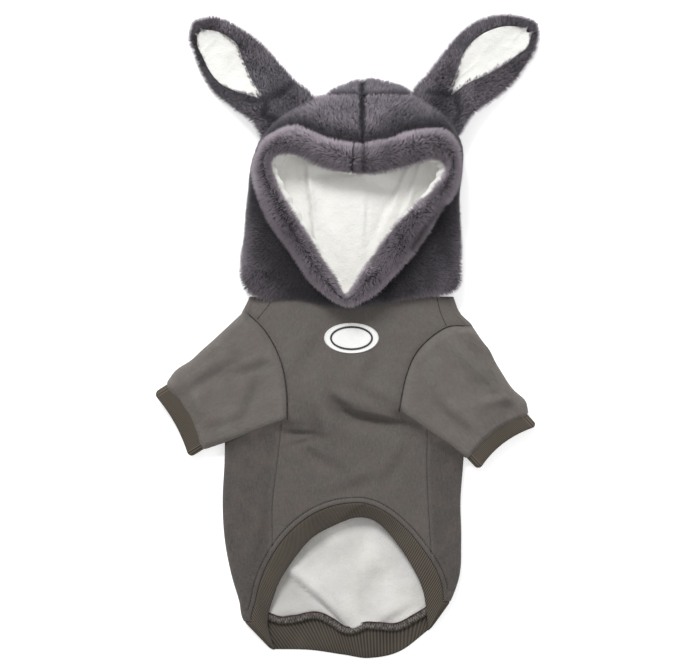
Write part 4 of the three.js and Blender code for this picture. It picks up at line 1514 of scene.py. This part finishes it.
def sleeve_plan(side):
    """Where a sleeve's point lies, from above, by its share across and its share down."""
    curve, _, first, last = sleeve_mouth(side)
    seam, mouth = open_curve(curve), mouth_line(side)

    def plan(a, b):
        on_seam, on_mouth = seam(np.clip(a, 0, 1)), mouth(a)
        found = []
        for k in (0, 1):
            top, bottom = curve[0][k], curve[-1][k]
            edges = mix(mix(top, first[k], b), mix(bottom, last[k], b), a)
            ends = mix(on_seam[k], on_mouth[k], b)
            corners = mix(mix(top, bottom, a), mix(first[k], last[k], a), b)
            found.append(edges + ends - corners)
        return found

    return plan


def sleeve_place(side):
    """The sleeve's cloth, from its armhole's seam to its end over the cuff."""
    body, sleeves = settings_of("body"), settings_of("sleeves")
    plan = sleeve_plan(side)

    def place(way, down):
        flat, turn = section(way)
        b = SLEEVE_END * (1 - (1 - down) ** 1.12)
        span = np.subtract(plan(1 + 0 * b, b), plan(0 * b, b))
        width = np.hypot(*span)
        fold = sleeves.fold
        across = fold + flat * (width - 2 * fold) + fold * np.cos(turn)
        share = across / width
        for at, long, bulge in ARMHOLES[side]["puffs"]:
            share = share - bulge * bell(b - at, long) * (1 - np.clip(share, 0, 1)) ** 3
        x, y = plan(share, b)
        # It comes down to the floor beside the body, and over it lies on the belly's cloth.
        low = body.fold * (1 - smoothstep(b, *SLEEVE_DROP))
        own = mix(sleeves.height, sleeves.mouth_height, np.minimum(b, 1))
        left, right, _ = body_edges(-y / body.length)
        over = smoothstep(x, left - 0.004, left + 0.01)
        over = over * (1 - smoothstep(x, right - 0.01, right + 0.004))
        rise = smoothstep(b * sleeves.length, 0.0, 0.007)
        lifted = body_top(x, y) - 0.0009 + rise * (sleeves.wall + 0.0015)
        high = np.maximum(own * rise + (1 - rise) * lifted, lifted)
        high = mix(own, high, over)
        relief = folds(x, y, SLEEVE_FOLDS, body.width, body.length, body.height, True)
        relief = relief + folds(x, y, SLEEVE_CREASES, body.width, body.length, body.height, True)
        drift = flat_ripple(x, y, 0.05, 11)
        crown = np.where(on_top(turn), dome(flat), 0)
        high = high + crown * (relief + 0.0005 * drift) * smoothstep(b, 0.0, 0.15)
        # The sleeve's end is turned in over the cuff, as a full soft edge.
        turned = TURNED_IN * smoothstep(b, 1.0, SLEEVE_END)
        middle = (low + high) / 2
        z = middle + ((high - low) / 2 - turned) * np.sin(turn)
        x, y = (p - turned * np.cos(turn) * s / width for p, s in zip((x, y), span))
        return x, y, z

    return place


def cuff_place(side):
    """The cuff's doubled band, from inside the sleeve's end to its own edge, with round ends."""
    sleeves = settings_of("sleeves")
    line = mouth_line(side)
    _, forward, first, last = sleeve_mouth(side)
    width = np.hypot(*(last - first))

    def place(way, around):
        flat, turn = section(way)
        part, inset, out = band_section(around, sleeves.cuff_wall)
        rise = RIB_RISE * (ridges(way, CUFF_RIBS) - 0.5)
        inset = inset - np.where(out, rise, -rise) + CUFF_INSET
        half = sleeves.cuff_height / 2
        fold = min(sleeves.fold, half)
        across = fold + flat * (width - 2 * fold) + (fold - inset) * np.cos(turn)
        x, y = line(across / width)
        end = smoothstep(np.abs(2 * across / width - 1), 0.78, 1.02)
        reach = mix(-CUFF_TUCK, sleeves.cuff_depth - CUFF_ROUNDING * end**2, part)
        z = half + (half - inset) * np.sin(turn)
        return x + forward[0] * reach, y + forward[1] * reach, z

    return place


class HOODIE_OT_sleeves(Operator):
    """The two short sleeves, set into the armholes"""

    bl_idname = "hoodie.sleeves"
    bl_label = "Sleeves"

    def execute(self, context):
        sleeves = context.scene.hoodie_sleeves
        flat = (0.23, sleeves.length)
        for side in ARMHOLES:
            bm = grid_mesh(110, 60, sleeve_place(side), flat)
            made = finished(
                bm, f"sleeve_cloth_{side}", knit_cloth(), f"sleeve_{side}", slot="knit",
                wall=sleeves.wall)
            points = points_of(made.data)
            keep_value(made.data, "tone", 1.42 + 0.05 * ripple(points, 0.06, 17)[:, 0])
        return {"FINISHED"}


class HOODIE_OT_cuffs(Operator):
    """The ribbed cuffs"""

    bl_idname = "hoodie.cuffs"
    bl_label = "Cuffs"

    def execute(self, context):
        for side in ARMHOLES:
            name = f"cuff_band_{side}"
            bm = grid_mesh(4 * CUFF_RIBS, 20, cuff_place(side))
            made = finished(bm, name, rib_cloth(), f"cuff_{side}", slot="rib")
            store_ridges(made, CUFF_RIBS)
        return {"FINISHED"}


# Hood


def hood_middle():
    """The hood's middle, from the neck seam's."""
    across, up = HOOD_MIDDLE
    return across * settings_of("body").width, up * settings_of("hood").length


def hood_outlines():
    """The hood's edge, brim seam and mouth from above, and the white roll's width."""
    hood = settings_of("hood")
    x, y = hood_middle()
    rows = np.array(HOOD_STATIONS)
    found = []
    for k in (0, 2, 4):
        found.append(closed_curve(np.stack([
            x + rows[:, k] * hood.width, y + rows[:, k + 1] * hood.length], axis=1)))
    return (*found, closed_curve(rows[:, 6:7] / 1000))


def drawn_in(point, distance):
    """Draws an outline in towards the hood's middle, by about a distance all round."""
    hood = settings_of("hood")
    part = 2 * distance / hood.width
    x, y = hood_middle()
    return np.array([mix(point[0], x, part), mix(point[1], y, part)])


def brim_seam_line():
    """The brim's seam seen from above, as a line of points in the frame."""
    seam_at = hood_outlines()[1]
    return (seam_at(np.linspace(0, 1, 90)) + neck_middle()[:2, None]).T


def hood_seam_places():
    """How far across the middle seam lies, and how far up the crown and forehead lines."""
    hood = settings_of("hood")
    x, y = hood_middle()
    return (
        x + hood.middle_seam * hood.width, y + hood.crown_line * hood.length,
        y + hood.forehead_line * hood.length)


def hood_seam_depth(x, y):
    """How deep the hood's panel seams pull the cloth in."""
    seam_x, crown_y, _ = hood_seam_places()
    my = hood_middle()[1]
    depth, spread = PANEL_SEAM
    middle = bell(x - seam_x, spread) * smoothstep(y, my, my + 0.02)
    return depth * np.maximum(middle, bell(y - crown_y, spread))


def hood_place(way, up):
    """The hood's skin, from its middle on the floor, out to its foot and up to the brim's seam."""
    hood = settings_of("hood")
    edge_at, seam_at, _, _ = hood_outlines()
    edge, foot = (drawn_in(edge_at(way), distance) for distance in (hood.backing, hood.side))
    seam = seam_at(way)
    under = up < HOOD_FLOOR
    step = np.clip((up - HOOD_FLOOR) / (1 - HOOD_FLOOR), 0, 1) * HOOD_PROFILE[-1][0]
    part, height = smooth_rows(HOOD_PROFILE)(step)
    plan = np.where(step < HOOD_WIDEST_STEP, mix(foot, edge, part), mix(seam, edge, part))
    hub = np.array(hood_middle())[:, None]
    plan = np.where(under, mix(hub, plan, np.clip(up / HOOD_FLOOR, 0, 1)), plan)
    z = height * (hood.seam_height - hood.backing) + np.where(under, 0, 0.0006)
    sunk = hood_seam_depth(*plan) * smoothstep(up, 0.35, 0.5)
    inward = np.array([*(hub - plan), 0.008 - z])
    inward /= np.maximum(np.linalg.norm(inward, axis=0), 1e-9)
    return tuple(np.array([*plan, z]) + inward * sunk)


def away_from_hood(roots):
    """The way from the hood's middle to each root, from above, and how far that is."""
    outward = roots[:, :2] - neck_middle()[:2] - np.array(hood_middle())
    return outward, np.linalg.norm(outward, axis=1)[:, None]


def hood_nap(roots, normals):
    """The hood's fur lies outwards from its middle, and down at its lower edge."""
    outward, far = away_from_hood(roots)
    lean = np.zeros_like(roots)
    lean[:, :2] = 0.55 * outward / np.maximum(far, 0.02)
    lean[:, 2] = -0.25 * (1 - normals[:, 2])
    off_middle, off_crown, above = hood_seams_off(roots)
    up = smoothstep(normals[:, 2], 0.2, 0.7)
    lean[:, 0] += 0.6 * up * np.sign(off_middle) * bell(off_middle, 0.004) * above
    lean[:, 1] += 0.5 * up * np.sign(off_crown) * bell(off_crown, 0.004)
    return lean


def hood_seams_off(points):
    """How far points are from the middle seam and the crown seam, and whether the middle one
    reaches them."""
    seam_x, crown_y, _ = hood_seam_places()
    x, y = (points[:, :2] - neck_middle()[:2]).T
    return x - seam_x, y - crown_y, y > hood_middle()[1]


def hood_parting(roots, normals):
    """The hood's fur is short along the panel seams, and darkened beside the brim with a painted
    shadow of it.
    """
    off_middle, off_crown, above = hood_seams_off(roots)
    up = smoothstep(normals[:, 2], 0.2, 0.7)
    sewn = np.maximum(bell(off_middle, 0.002) * above, 0.6 * bell(off_crown, 0.002)) * up
    off_brim = distance_to_line(roots[:, :2], brim_seam_line())
    low = smoothstep(off_crown, -0.07, -0.12)
    # Painted shadow of the brim on the fur beside it, wider low down on the sides.
    beside = 0.92 * bell(off_brim, mix(0.011, 0.026, low))
    return np.clip(np.maximum(sewn, beside), 0, 1)


def hood_panels(bm):
    """Cuts the hood's skin along its panel seams, and names each face's panel."""
    hood = settings_of("hood")
    seam_x, crown_y, forehead_y = hood_seam_places() + neck_middle()[[0, 1, 1]]
    side_z = hood.side + hood.backing
    cuts = (((seam_x, 0, 0), (1, 0, 0)), ((0, crown_y, 0), (0, 1, 0)),
            ((0, forehead_y, 0), (0, 1, 0)), ((0, 0, side_z), (0, 0, 1)))
    for point, normal in cuts:
        bmesh.ops.bisect_plane(
            bm, geom=bm.verts[:] + bm.edges[:] + bm.faces[:], dist=1e-6,
            plane_co=point, plane_no=normal)
    bm.faces.index_update()
    named = {}
    for face in bm.faces:
        middle = face.calc_center_median()
        side = "left" if middle.x < seam_x else "right"
        if middle.y > crown_y:
            panel = "crown"
        elif middle.y > forehead_y and middle.z > side_z:
            panel = f"forehead_{side}"
        else:
            panel = f"hood_{side}"
        named.setdefault(panel, []).append(face.index)
    return named


class HOODIE_OT_hood(Operator):
    """The hood's furry panels, each with its own pile"""

    bl_idname = "hoodie.hood"
    bl_label = "Hood"

    def execute(self, context):
        bm = grid_mesh(180, 60, hood_place)
        panels = hood_panels(bm)
        cuts = (  # panel, flat width, flat length, strands, seed, how much lighter
            ("crown", 0.08, 0.03, 8000, 11, 0.0),
            ("forehead_left", 0.08, 0.05, 13000, 12, 0.0),
            ("forehead_right", 0.08, 0.05, 13000, 13, 0.06),
            ("hood_left", 0.2, 0.14, 30000, 14, 0.22),
            ("hood_right", 0.2, 0.13, 28000, 15, 0.22),
        )
        for panel, wide, long, strands, seed, light in cuts:
            part = bm.copy()
            part.faces.ensure_lookup_table()
            kept = set(panels[panel])
            gone = [f for f in part.faces if f.index not in kept]
            bmesh.ops.delete(part, geom=gone, context="FACES")
            made = finished(
                part, f"{panel}_backing", fur_backing(), panel, slot="fur", wall=0.0012)
            fur = grow_fur(
                made, f"{panel}_fur", strands, hood_nap, seed, light=light, parting=hood_parting)
        bm.free()
        return {"FINISHED"}


def draw_in(bm, distance):
    """Moves a closed skin in by a distance, along its normals."""
    bm.normal_update()
    for vert, normal in [(v, v.normal.copy()) for v in bm.verts]:
        vert.co -= normal * distance


def brim_place(way, around):
    """The brim's padded roll, from the hood's seam over to the mouth and back."""
    hood = settings_of("hood")
    _, seam_at, mouth_at, _ = hood_outlines()
    seam, mouth = seam_at(way), mouth_at(way)
    part, height = closed_curve(BRIM_PROFILE)(around)
    return *mix(seam, mouth, part), hood.seam_height + JOIN_GAP + height * hood.brim


class HOODIE_OT_brim(Operator):
    """The padded furry band round the face opening"""

    bl_idname = "hoodie.brim"
    bl_label = "Brim"

    def execute(self, context):
        hood = context.scene.hoodie_hood
        bm = grid_mesh(240, 32, brim_place)
        draw_in(bm, hood.backing)
        made = finished(bm, "brim_backing", fur_backing(), "brim", slot="fur")
        # Its fur is paler all over, a painted sheen on the brim.
        grow_fur(
            made, "brim_fur", 44000, brim_nap, 21, wanted=brim_cover, light=0.52,
            parting=brim_parting)
        return {"FINISHED"}


def brim_nap(roots, normals):
    """The brim's fur lies round the mouth and a little outwards."""
    outward, far = away_from_hood(roots)
    side = np.sign(outward[:, 0])
    outward = outward / np.maximum(far, 0.01)
    lean = np.zeros_like(roots)
    lean[:, 0] = side * outward[:, 1] * 0.4 + 0.3 * outward[:, 0]
    lean[:, 1] = -side * outward[:, 0] * 0.4 + 0.3 * outward[:, 1]
    return lean


def brim_parting(roots, normals):
    """The brim's fur parts at the middle seam, and along a crease on the right, with painted shade
    in that crease.
    """
    hood = settings_of("hood")
    off_middle, _, above = hood_seams_off(roots)
    sewn = 0.75 * bell(off_middle, 0.0022) * above
    line = np.array(BRIM_CREASE) * (hood.width, hood.length) + hood_middle() + neck_middle()[:2]
    return np.maximum(sewn, 0.7 * bell(distance_to_line(roots[:, :2], line), 0.0025))


def brim_cover(middles, normals):
    """The brim's underside is sewn down, and has next to no fur away from its outer edge."""
    reach = 0.3 * settings_of("hood").brim
    outer = distance_to_line(middles[:, :2], brim_seam_line()) < reach
    return np.where(normals[:, 2] > np.where(outer, -0.9, -0.3), 1.0, 0.05)


def lining_place(way, inward):
    """From under the brim, over the white roll, back down the wall, and in over the floor."""
    hood = settings_of("hood")
    edge_at, seam_at, mouth_at, roll_at = hood_outlines()
    mouth = mouth_at(way)
    puff = np.sin(TAU * ROLL_PUFFS * way)
    roll = roll_at(way)[0] * (1 + 0.13 * puff)
    hub = np.array(hood_middle())[:, None]
    toward = hub - mouth
    toward = toward / np.linalg.norm(toward, axis=0)
    wide = mix(edge_at(way), hub, 0.13 + 0.19 * smoothstep(mouth[1] - hub[1], 0.0, 0.025))
    top, floor_start = hood.seam_height + 0.004, 0.55
    stops, spots, heights = zip(  # how far in, where, how high
        (0.0, mix(mouth, seam_at(way), 0.35), top - 0.004),
        (0.12, mouth + toward * (roll * 0.35 - 0.001), top),
        (0.2, mouth + toward * roll, top - 0.003),
        (0.28, mouth + toward * (roll * 0.7 - 0.001), top - 0.011),
        (0.45, mix(mouth, wide, 0.75), 0.024),
        (floor_start, wide, 0.021),
    )
    spots, heights = np.array(spots), np.array(heights)
    rows = np.interp(inward, stops, range(len(stops)))
    at = np.clip(np.floor(rows).astype(int), 0, len(stops) - 2)
    part = rows - at
    each = np.arange(len(rows))
    x, y = (mix(spots[at, k, each], spots[at + 1, k, each], part) for k in (0, 1))
    z = mix(heights[at], heights[at + 1], part * part * (3 - 2 * part))
    z = z + PUFF_RISE * puff * smoothstep(inward, 0.06, 0.15) * (1 - smoothstep(inward, 0.26, 0.4))
    to_hub = np.clip((inward - floor_start) / (1 - floor_start), 0, 1)
    x, y = mix(x, hub[0], to_hub), mix(y, hub[1], to_hub)
    dx, dy = (x - hub[0]) / hood.width, (y - hub[1]) / hood.length
    relief = 0.007 * np.exp(-((dx / 0.22) ** 2) - ((dy + 0.12) / 0.28) ** 2)
    relief += folds(dx, dy, LINING_FOLDS, 1, 1, hood.side, True)
    return x, y, z + smoothstep(inward, 0.5, 0.62) * relief


class HOODIE_OT_hood_lining(Operator):
    """The white plush inside the hood, rolled out at its mouth"""

    bl_idname = "hoodie.hood_lining"
    bl_label = "Hood lining"

    def execute(self, context):
        hood = context.scene.hoodie_hood
        bm = grid_mesh(200, 90, lining_place, (0.6, 0.2), upward=True)
        made = finished(
            bm, "hood_plush", white_plush(), "hood_lining", slot="plush", wall=hood.plush * 0.6)
        return {"FINISHED"}


# Ears


def ear_axes(side):
    """Where an ear's root is, which way it runs, and which way is aside of it."""
    hood, ear = settings_of("hood"), EARS[side]
    turn = math.radians(ear["angle"])
    along = np.array([math.cos(turn), math.sin(turn)])
    aside = np.array([along[1], -along[0]])
    x, y = hood_middle()
    root = np.array([x + ear["across"] * hood.width, y + ear["up"] * hood.length])
    return root, along, aside


def ear_spot(side, part, across):
    """Where a point of an ear lies from above, by its share along and how far aside it is."""
    root, along, aside = ear_axes(side)
    length = settings_of("ears").length
    return [root[k] + along[k] * part * length + aside[k] * across for k in (0, 1)]


def ear_floor(part):
    """How high an ear's underside lies: it comes down to the floor on its way to the tip."""
    return settings_of("ears").root * (1 - smoothstep(part, 0.05, 0.6))


def plush_cover(side, part, offset):
    """How far inside the ear's white lining a point is, in metres: under 0 it is outside."""
    ears = settings_of("ears")
    rows = EARS[side]["plush"]
    middle, half = smooth_rows(rows)(part)
    ends = np.minimum(part - rows[0][0], rows[-1][0] - part) * ears.length
    return np.minimum((half - np.abs(offset - middle)) * ears.width, ends)


def ear_place(side):
    """An ear's cloth: a full leaf that is flatter at its root and under its white lining."""
    ears = settings_of("ears")
    rows = EARS[side]["outline"]
    curve = smooth_rows(rows)
    first, last = rows[0][0], rows[-1][0]

    def place(way, out):
        part = mix(first, last, 1 - (1 - out) ** 1.4)
        offset, half = curve(part)
        half = np.maximum(half * ears.width - EAR_BACKING, 0.0)
        half = np.where((out > 0.999) | (out < 0.001), 0.0, half)  # closed at both ends
        turn = TAU * way
        across = offset * ears.width + half * np.cos(turn)
        rise = np.sin(turn)
        bulge = np.sign(rise) * np.abs(rise) ** 0.6
        thick = (ears.thickness / 2 - EAR_BACKING * 0.8) * mix(0.5, 1, smoothstep(part, -0.12, 0))
        dent = sum(pressed(part - at, depth, spread) for at, spread, depth in EAR_DENTS)
        cover = smoothstep(plush_cover(side, part, across / ears.width), -0.003, 0.004)
        up = np.where(rise > 0, bulge * (1 - dent) * (1 - 0.55 * cover), bulge)
        return *ear_spot(side, part, across), ear_floor(part) + ears.thickness / 2 + thick * up

    return place


def ear_shares(side, points):
    """How far along an ear points are, and how far aside, as shares of its length and width."""
    ears = settings_of("ears")
    root, along, aside = ear_axes(side)
    flat = points[:, :2] - neck_middle()[:2] - root
    return flat @ along / ears.length, flat @ aside / ears.width


def ear_nap(side):
    """An ear's fur lies towards its tip, and out at its edges."""
    def nap(roots, normals):
        _, along, aside = ear_axes(side)
        _, offset = ear_shares(side, roots)
        lean = np.zeros_like(roots)
        for k in (0, 1):
            lean[:, k] = 0.5 * along[k] + 0.5 * np.clip(offset * 2, -1, 1) * aside[k]
        return lean

    return nap


def ear_parting(side):
    """An ear's fur parts along the creases at its root, shorter there and darkened with painted
    shade.
    """
    def parting(roots, normals):
        found = np.zeros(len(roots))
        shares = np.stack(ear_shares(side, roots), axis=1)
        for crease in EAR_CREASES[side]:
            found = np.maximum(found, bell(distance_to_line(shares, np.array(crease)), 0.03))
        return 0.8 * found * smoothstep(normals[:, 2], 0.2, 0.6)

    return parting


def ear_cover(side):
    """No fur grows under an ear's white lining, and little on its underside."""
    def wanted(middles, normals):
        part, offset = ear_shares(side, middles)
        bare = (plush_cover(side, part, offset) > 0.0002) & (normals[:, 2] > 0)
        return np.where(bare, 0.0, np.where(normals[:, 2] > -0.4, 1.0, 0.25))

    return wanted


def ear_plush_place(side):
    """An ear's white lining: a shallow dish with soft wrinkles."""
    ears = settings_of("ears")
    rows = EARS[side]["plush"]
    curve = smooth_rows(rows)
    first, last = rows[0][0] - 0.02, rows[-1][0] + 0.02

    def place(across_share, out):
        part = mix(first, last, out)
        offset, half = curve(part)
        half = half * ears.width + 0.0008
        off = 2 * across_share - 1
        x, y = ear_spot(side, part, offset * ears.width + half * off)
        dish = 1 - 0.4 * (1 - off**2)
        z = ear_floor(part) + ears.thickness * (0.5 + 0.36 * dish)
        wrinkle = 0.0007 * flat_ripple(x * 2.2, y, 0.04, 21, which=1)
        wrinkle = wrinkle + 0.0005 * bell(flat_ripple(x, y, 0.016, 23), 0.4)
        return x, y, z + wrinkle * (1 - off**2)

    return place


class HOODIE_OT_ears(Operator):
    """The long ears with their white linings"""

    bl_idname = "hoodie.ears"
    bl_label = "Ears"

    def execute(self, context):
        for side in EARS:
            bm = grid_mesh(64, 70, ear_place(side))
            made = finished(bm, f"ear_{side}_backing", fur_backing(), f"ear_{side}", slot="fur")
            grow_fur(
                made, f"ear_{side}_fur", 22000, ear_nap(side), 31 + len(side), pile=0.8,
                wanted=ear_cover(side), parting=ear_parting(side))
            flat = (0.034, 0.085)
            bm = grid_mesh(30, 60, ear_plush_place(side), flat, upward=True)
            made = finished(
                bm, f"ear_plush_{side}", white_plush(), f"ear_lining_{side}", slot="plush",
                wall=0.0012)
        return {"FINISHED"}


# Chest patch


def oval_place(width, height, profile, even=False):
    """An oval piece on the belly: profile gives how far in from its edge and how high. An even one
    is as far in all round, and others draw together towards their middle."""
    body = settings_of("body")
    middle_x, middle_y = PATCH_PLACE[0] * body.width, -PATCH_PLACE[1] * body.length

    def place(way, across):
        inset, lift = profile(across)
        turn = TAU * way
        x = middle_x + np.maximum(width / 2 - inset, 0) * np.cos(turn)
        tall = inset if even else inset * height / width
        y = middle_y + np.maximum(height / 2 - tall, 0) * np.sin(turn)
        return x, y, body_top(x, y) + lift

    return place


class HOODIE_OT_patch(Operator):
    """The bare oval patch with its plain ring"""

    bl_idname = "hoodie.patch"
    bl_label = "Chest patch"

    def execute(self, context):
        patch = context.scene.hoodie_patch
        top, face = patch.thickness, patch.thickness - 0.0003
        # From under the plate's middle out to its rounded edge, and in over its face.
        rows = smooth_rows([  # step, how far in, how high
            (0.0, patch.width / 2, -0.0004), (0.12, 0.0004, -0.0004), (0.2, 0.0, 0.0003),
            (0.3, 0.0002, face), (0.4, 0.0005, top), (0.5, 0.0016, face), (0.6, 0.003, face),
            (1.0, patch.width / 2, face),
        ])
        bm = grid_mesh(96, 40, oval_place(patch.width, patch.height, rows))
        finished(bm, "patch_plate", patch_rubber(), "chest_patch", slot="patch")
        wide = patch.width - 2 * patch.inset
        tall = patch.height - 2 * patch.inset * patch.height / patch.width

        def section_of_ring(part):
            turn = TAU * part
            inset = patch.ring / 2 * (1 - np.cos(turn))
            lift = patch.thickness + patch.ring_thickness / 2 - 0.0001 + 0.0004 * np.sin(turn)
            return inset, lift

        bm = grid_mesh(96, 12, oval_place(wide, tall, section_of_ring, even=True))
        finished(bm, "patch_band", ring_rubber(), "patch_ring", slot="patch_ink")
        return {"FINISHED"}


# Stage


class HOODIE_OT_stage(Operator):
    """A pale floor, soft light and the camera straight above"""

    bl_idname = "hoodie.stage"
    bl_label = "Stage"

    def execute(self, context):
        bm = bmesh.new()
        bmesh.ops.create_grid(bm, x_segments=1, y_segments=1, size=6.0)
        mesh = bpy.data.meshes.new("floor")
        bm.to_mesh(mesh)
        bm.free()
        floor = bpy.data.objects.new("floor", mesh)
        s = Shader("pale_floor")
        s.surface.inputs["Emission Color"].default_value = (1.0, 1.0, 1.0, 1.0)
        s.surface.inputs["Emission Strength"].default_value = 0.5
        mesh.materials.append(s.finish((0.93, 0.93, 0.93, 1.0), roughness=0.9, specular=0.0))
        context.scene.collection.objects.link(floor)
        world = bpy.data.worlds.new("studio")
        context.scene.world = world
        world.use_nodes = True
        sky = world.node_tree.nodes["Background"].inputs
        sky["Color"].default_value = (1, 1, 1, 1)
        sky["Strength"].default_value = 0.56
        for name, place, wide, power in (
                ("key", (-1.2, 3.3, 3.3), 1.5, 170.0), ("fill", (1.4, -0.8, 2.4), 2.0, 8.0)):
            light = bpy.data.lights.new(name, "AREA")
            light.size = wide
            light.energy = power
            lamp = bpy.data.objects.new(name, light)
            lamp.location = place
            lamp.rotation_mode = "QUATERNION"
            lamp.rotation_quaternion = (-Vector(place)).to_track_quat("-Z", "Y")
            context.scene.collection.objects.link(lamp)
        height, view_width = 2.4, 0.637
        camera = bpy.data.cameras.new("camera")
        camera.lens = camera.sensor_width * height / view_width
        shot = bpy.data.objects.new("camera", camera)
        shot.location = (-0.0036, 0.0019, height)
        context.scene.collection.objects.link(shot)
        context.scene.camera = shot
        context.scene.view_settings.view_transform = "Standard"
        return {"FINISHED"}


class HOODIE_PT_panel(Panel):
    bl_idname = "HOODIE_PT_panel"
    bl_label = "Dog hoodie"
    bl_space_type = "VIEW_3D"
    bl_region_type = "UI"
    bl_category = "Hoodie"

    def draw(self, context):
        layout = self.layout
        for operator in OPERATORS:
            layout.operator(operator.bl_idname)
        for group in SETTINGS:
            box = layout.box()
            box.label(text=group.__name__)
            for name in group.__annotations__:
                box.prop(getattr(context.scene, SETTINGS[group]), name)


OPERATORS = (
    HOODIE_OT_stage, HOODIE_OT_body, HOODIE_OT_lining, HOODIE_OT_hem_rib, HOODIE_OT_seams,
    HOODIE_OT_overlock, HOODIE_OT_sleeves, HOODIE_OT_cuffs, HOODIE_OT_hood, HOODIE_OT_brim,
    HOODIE_OT_hood_lining, HOODIE_OT_ears, HOODIE_OT_patch,
)
SETTINGS = {
    HoodieBody: "hoodie_body",
    HoodieSleeves: "hoodie_sleeves",
    HoodieHood: "hoodie_hood",
    HoodieEars: "hoodie_ears",
    HoodiePatch: "hoodie_patch",
    HoodieColours: "hoodie_colours",
}


def register():
    for group, name in SETTINGS.items():
        bpy.utils.register_class(group)
        setattr(bpy.types.Scene, name, PointerProperty(type=group))
    for made in (*OPERATORS, HOODIE_PT_panel):
        bpy.utils.register_class(made)


def unregister():
    for made in (HOODIE_PT_panel, *reversed(OPERATORS)):
        bpy.utils.unregister_class(made)
    for group, name in SETTINGS.items():
        delattr(bpy.types.Scene, name)
        bpy.utils.unregister_class(group)


def main():
    register()
    for operator in OPERATORS:
        group, name = operator.bl_idname.split(".")
        getattr(getattr(bpy.ops, group), name)()


if __name__ == "__main__":
    main()
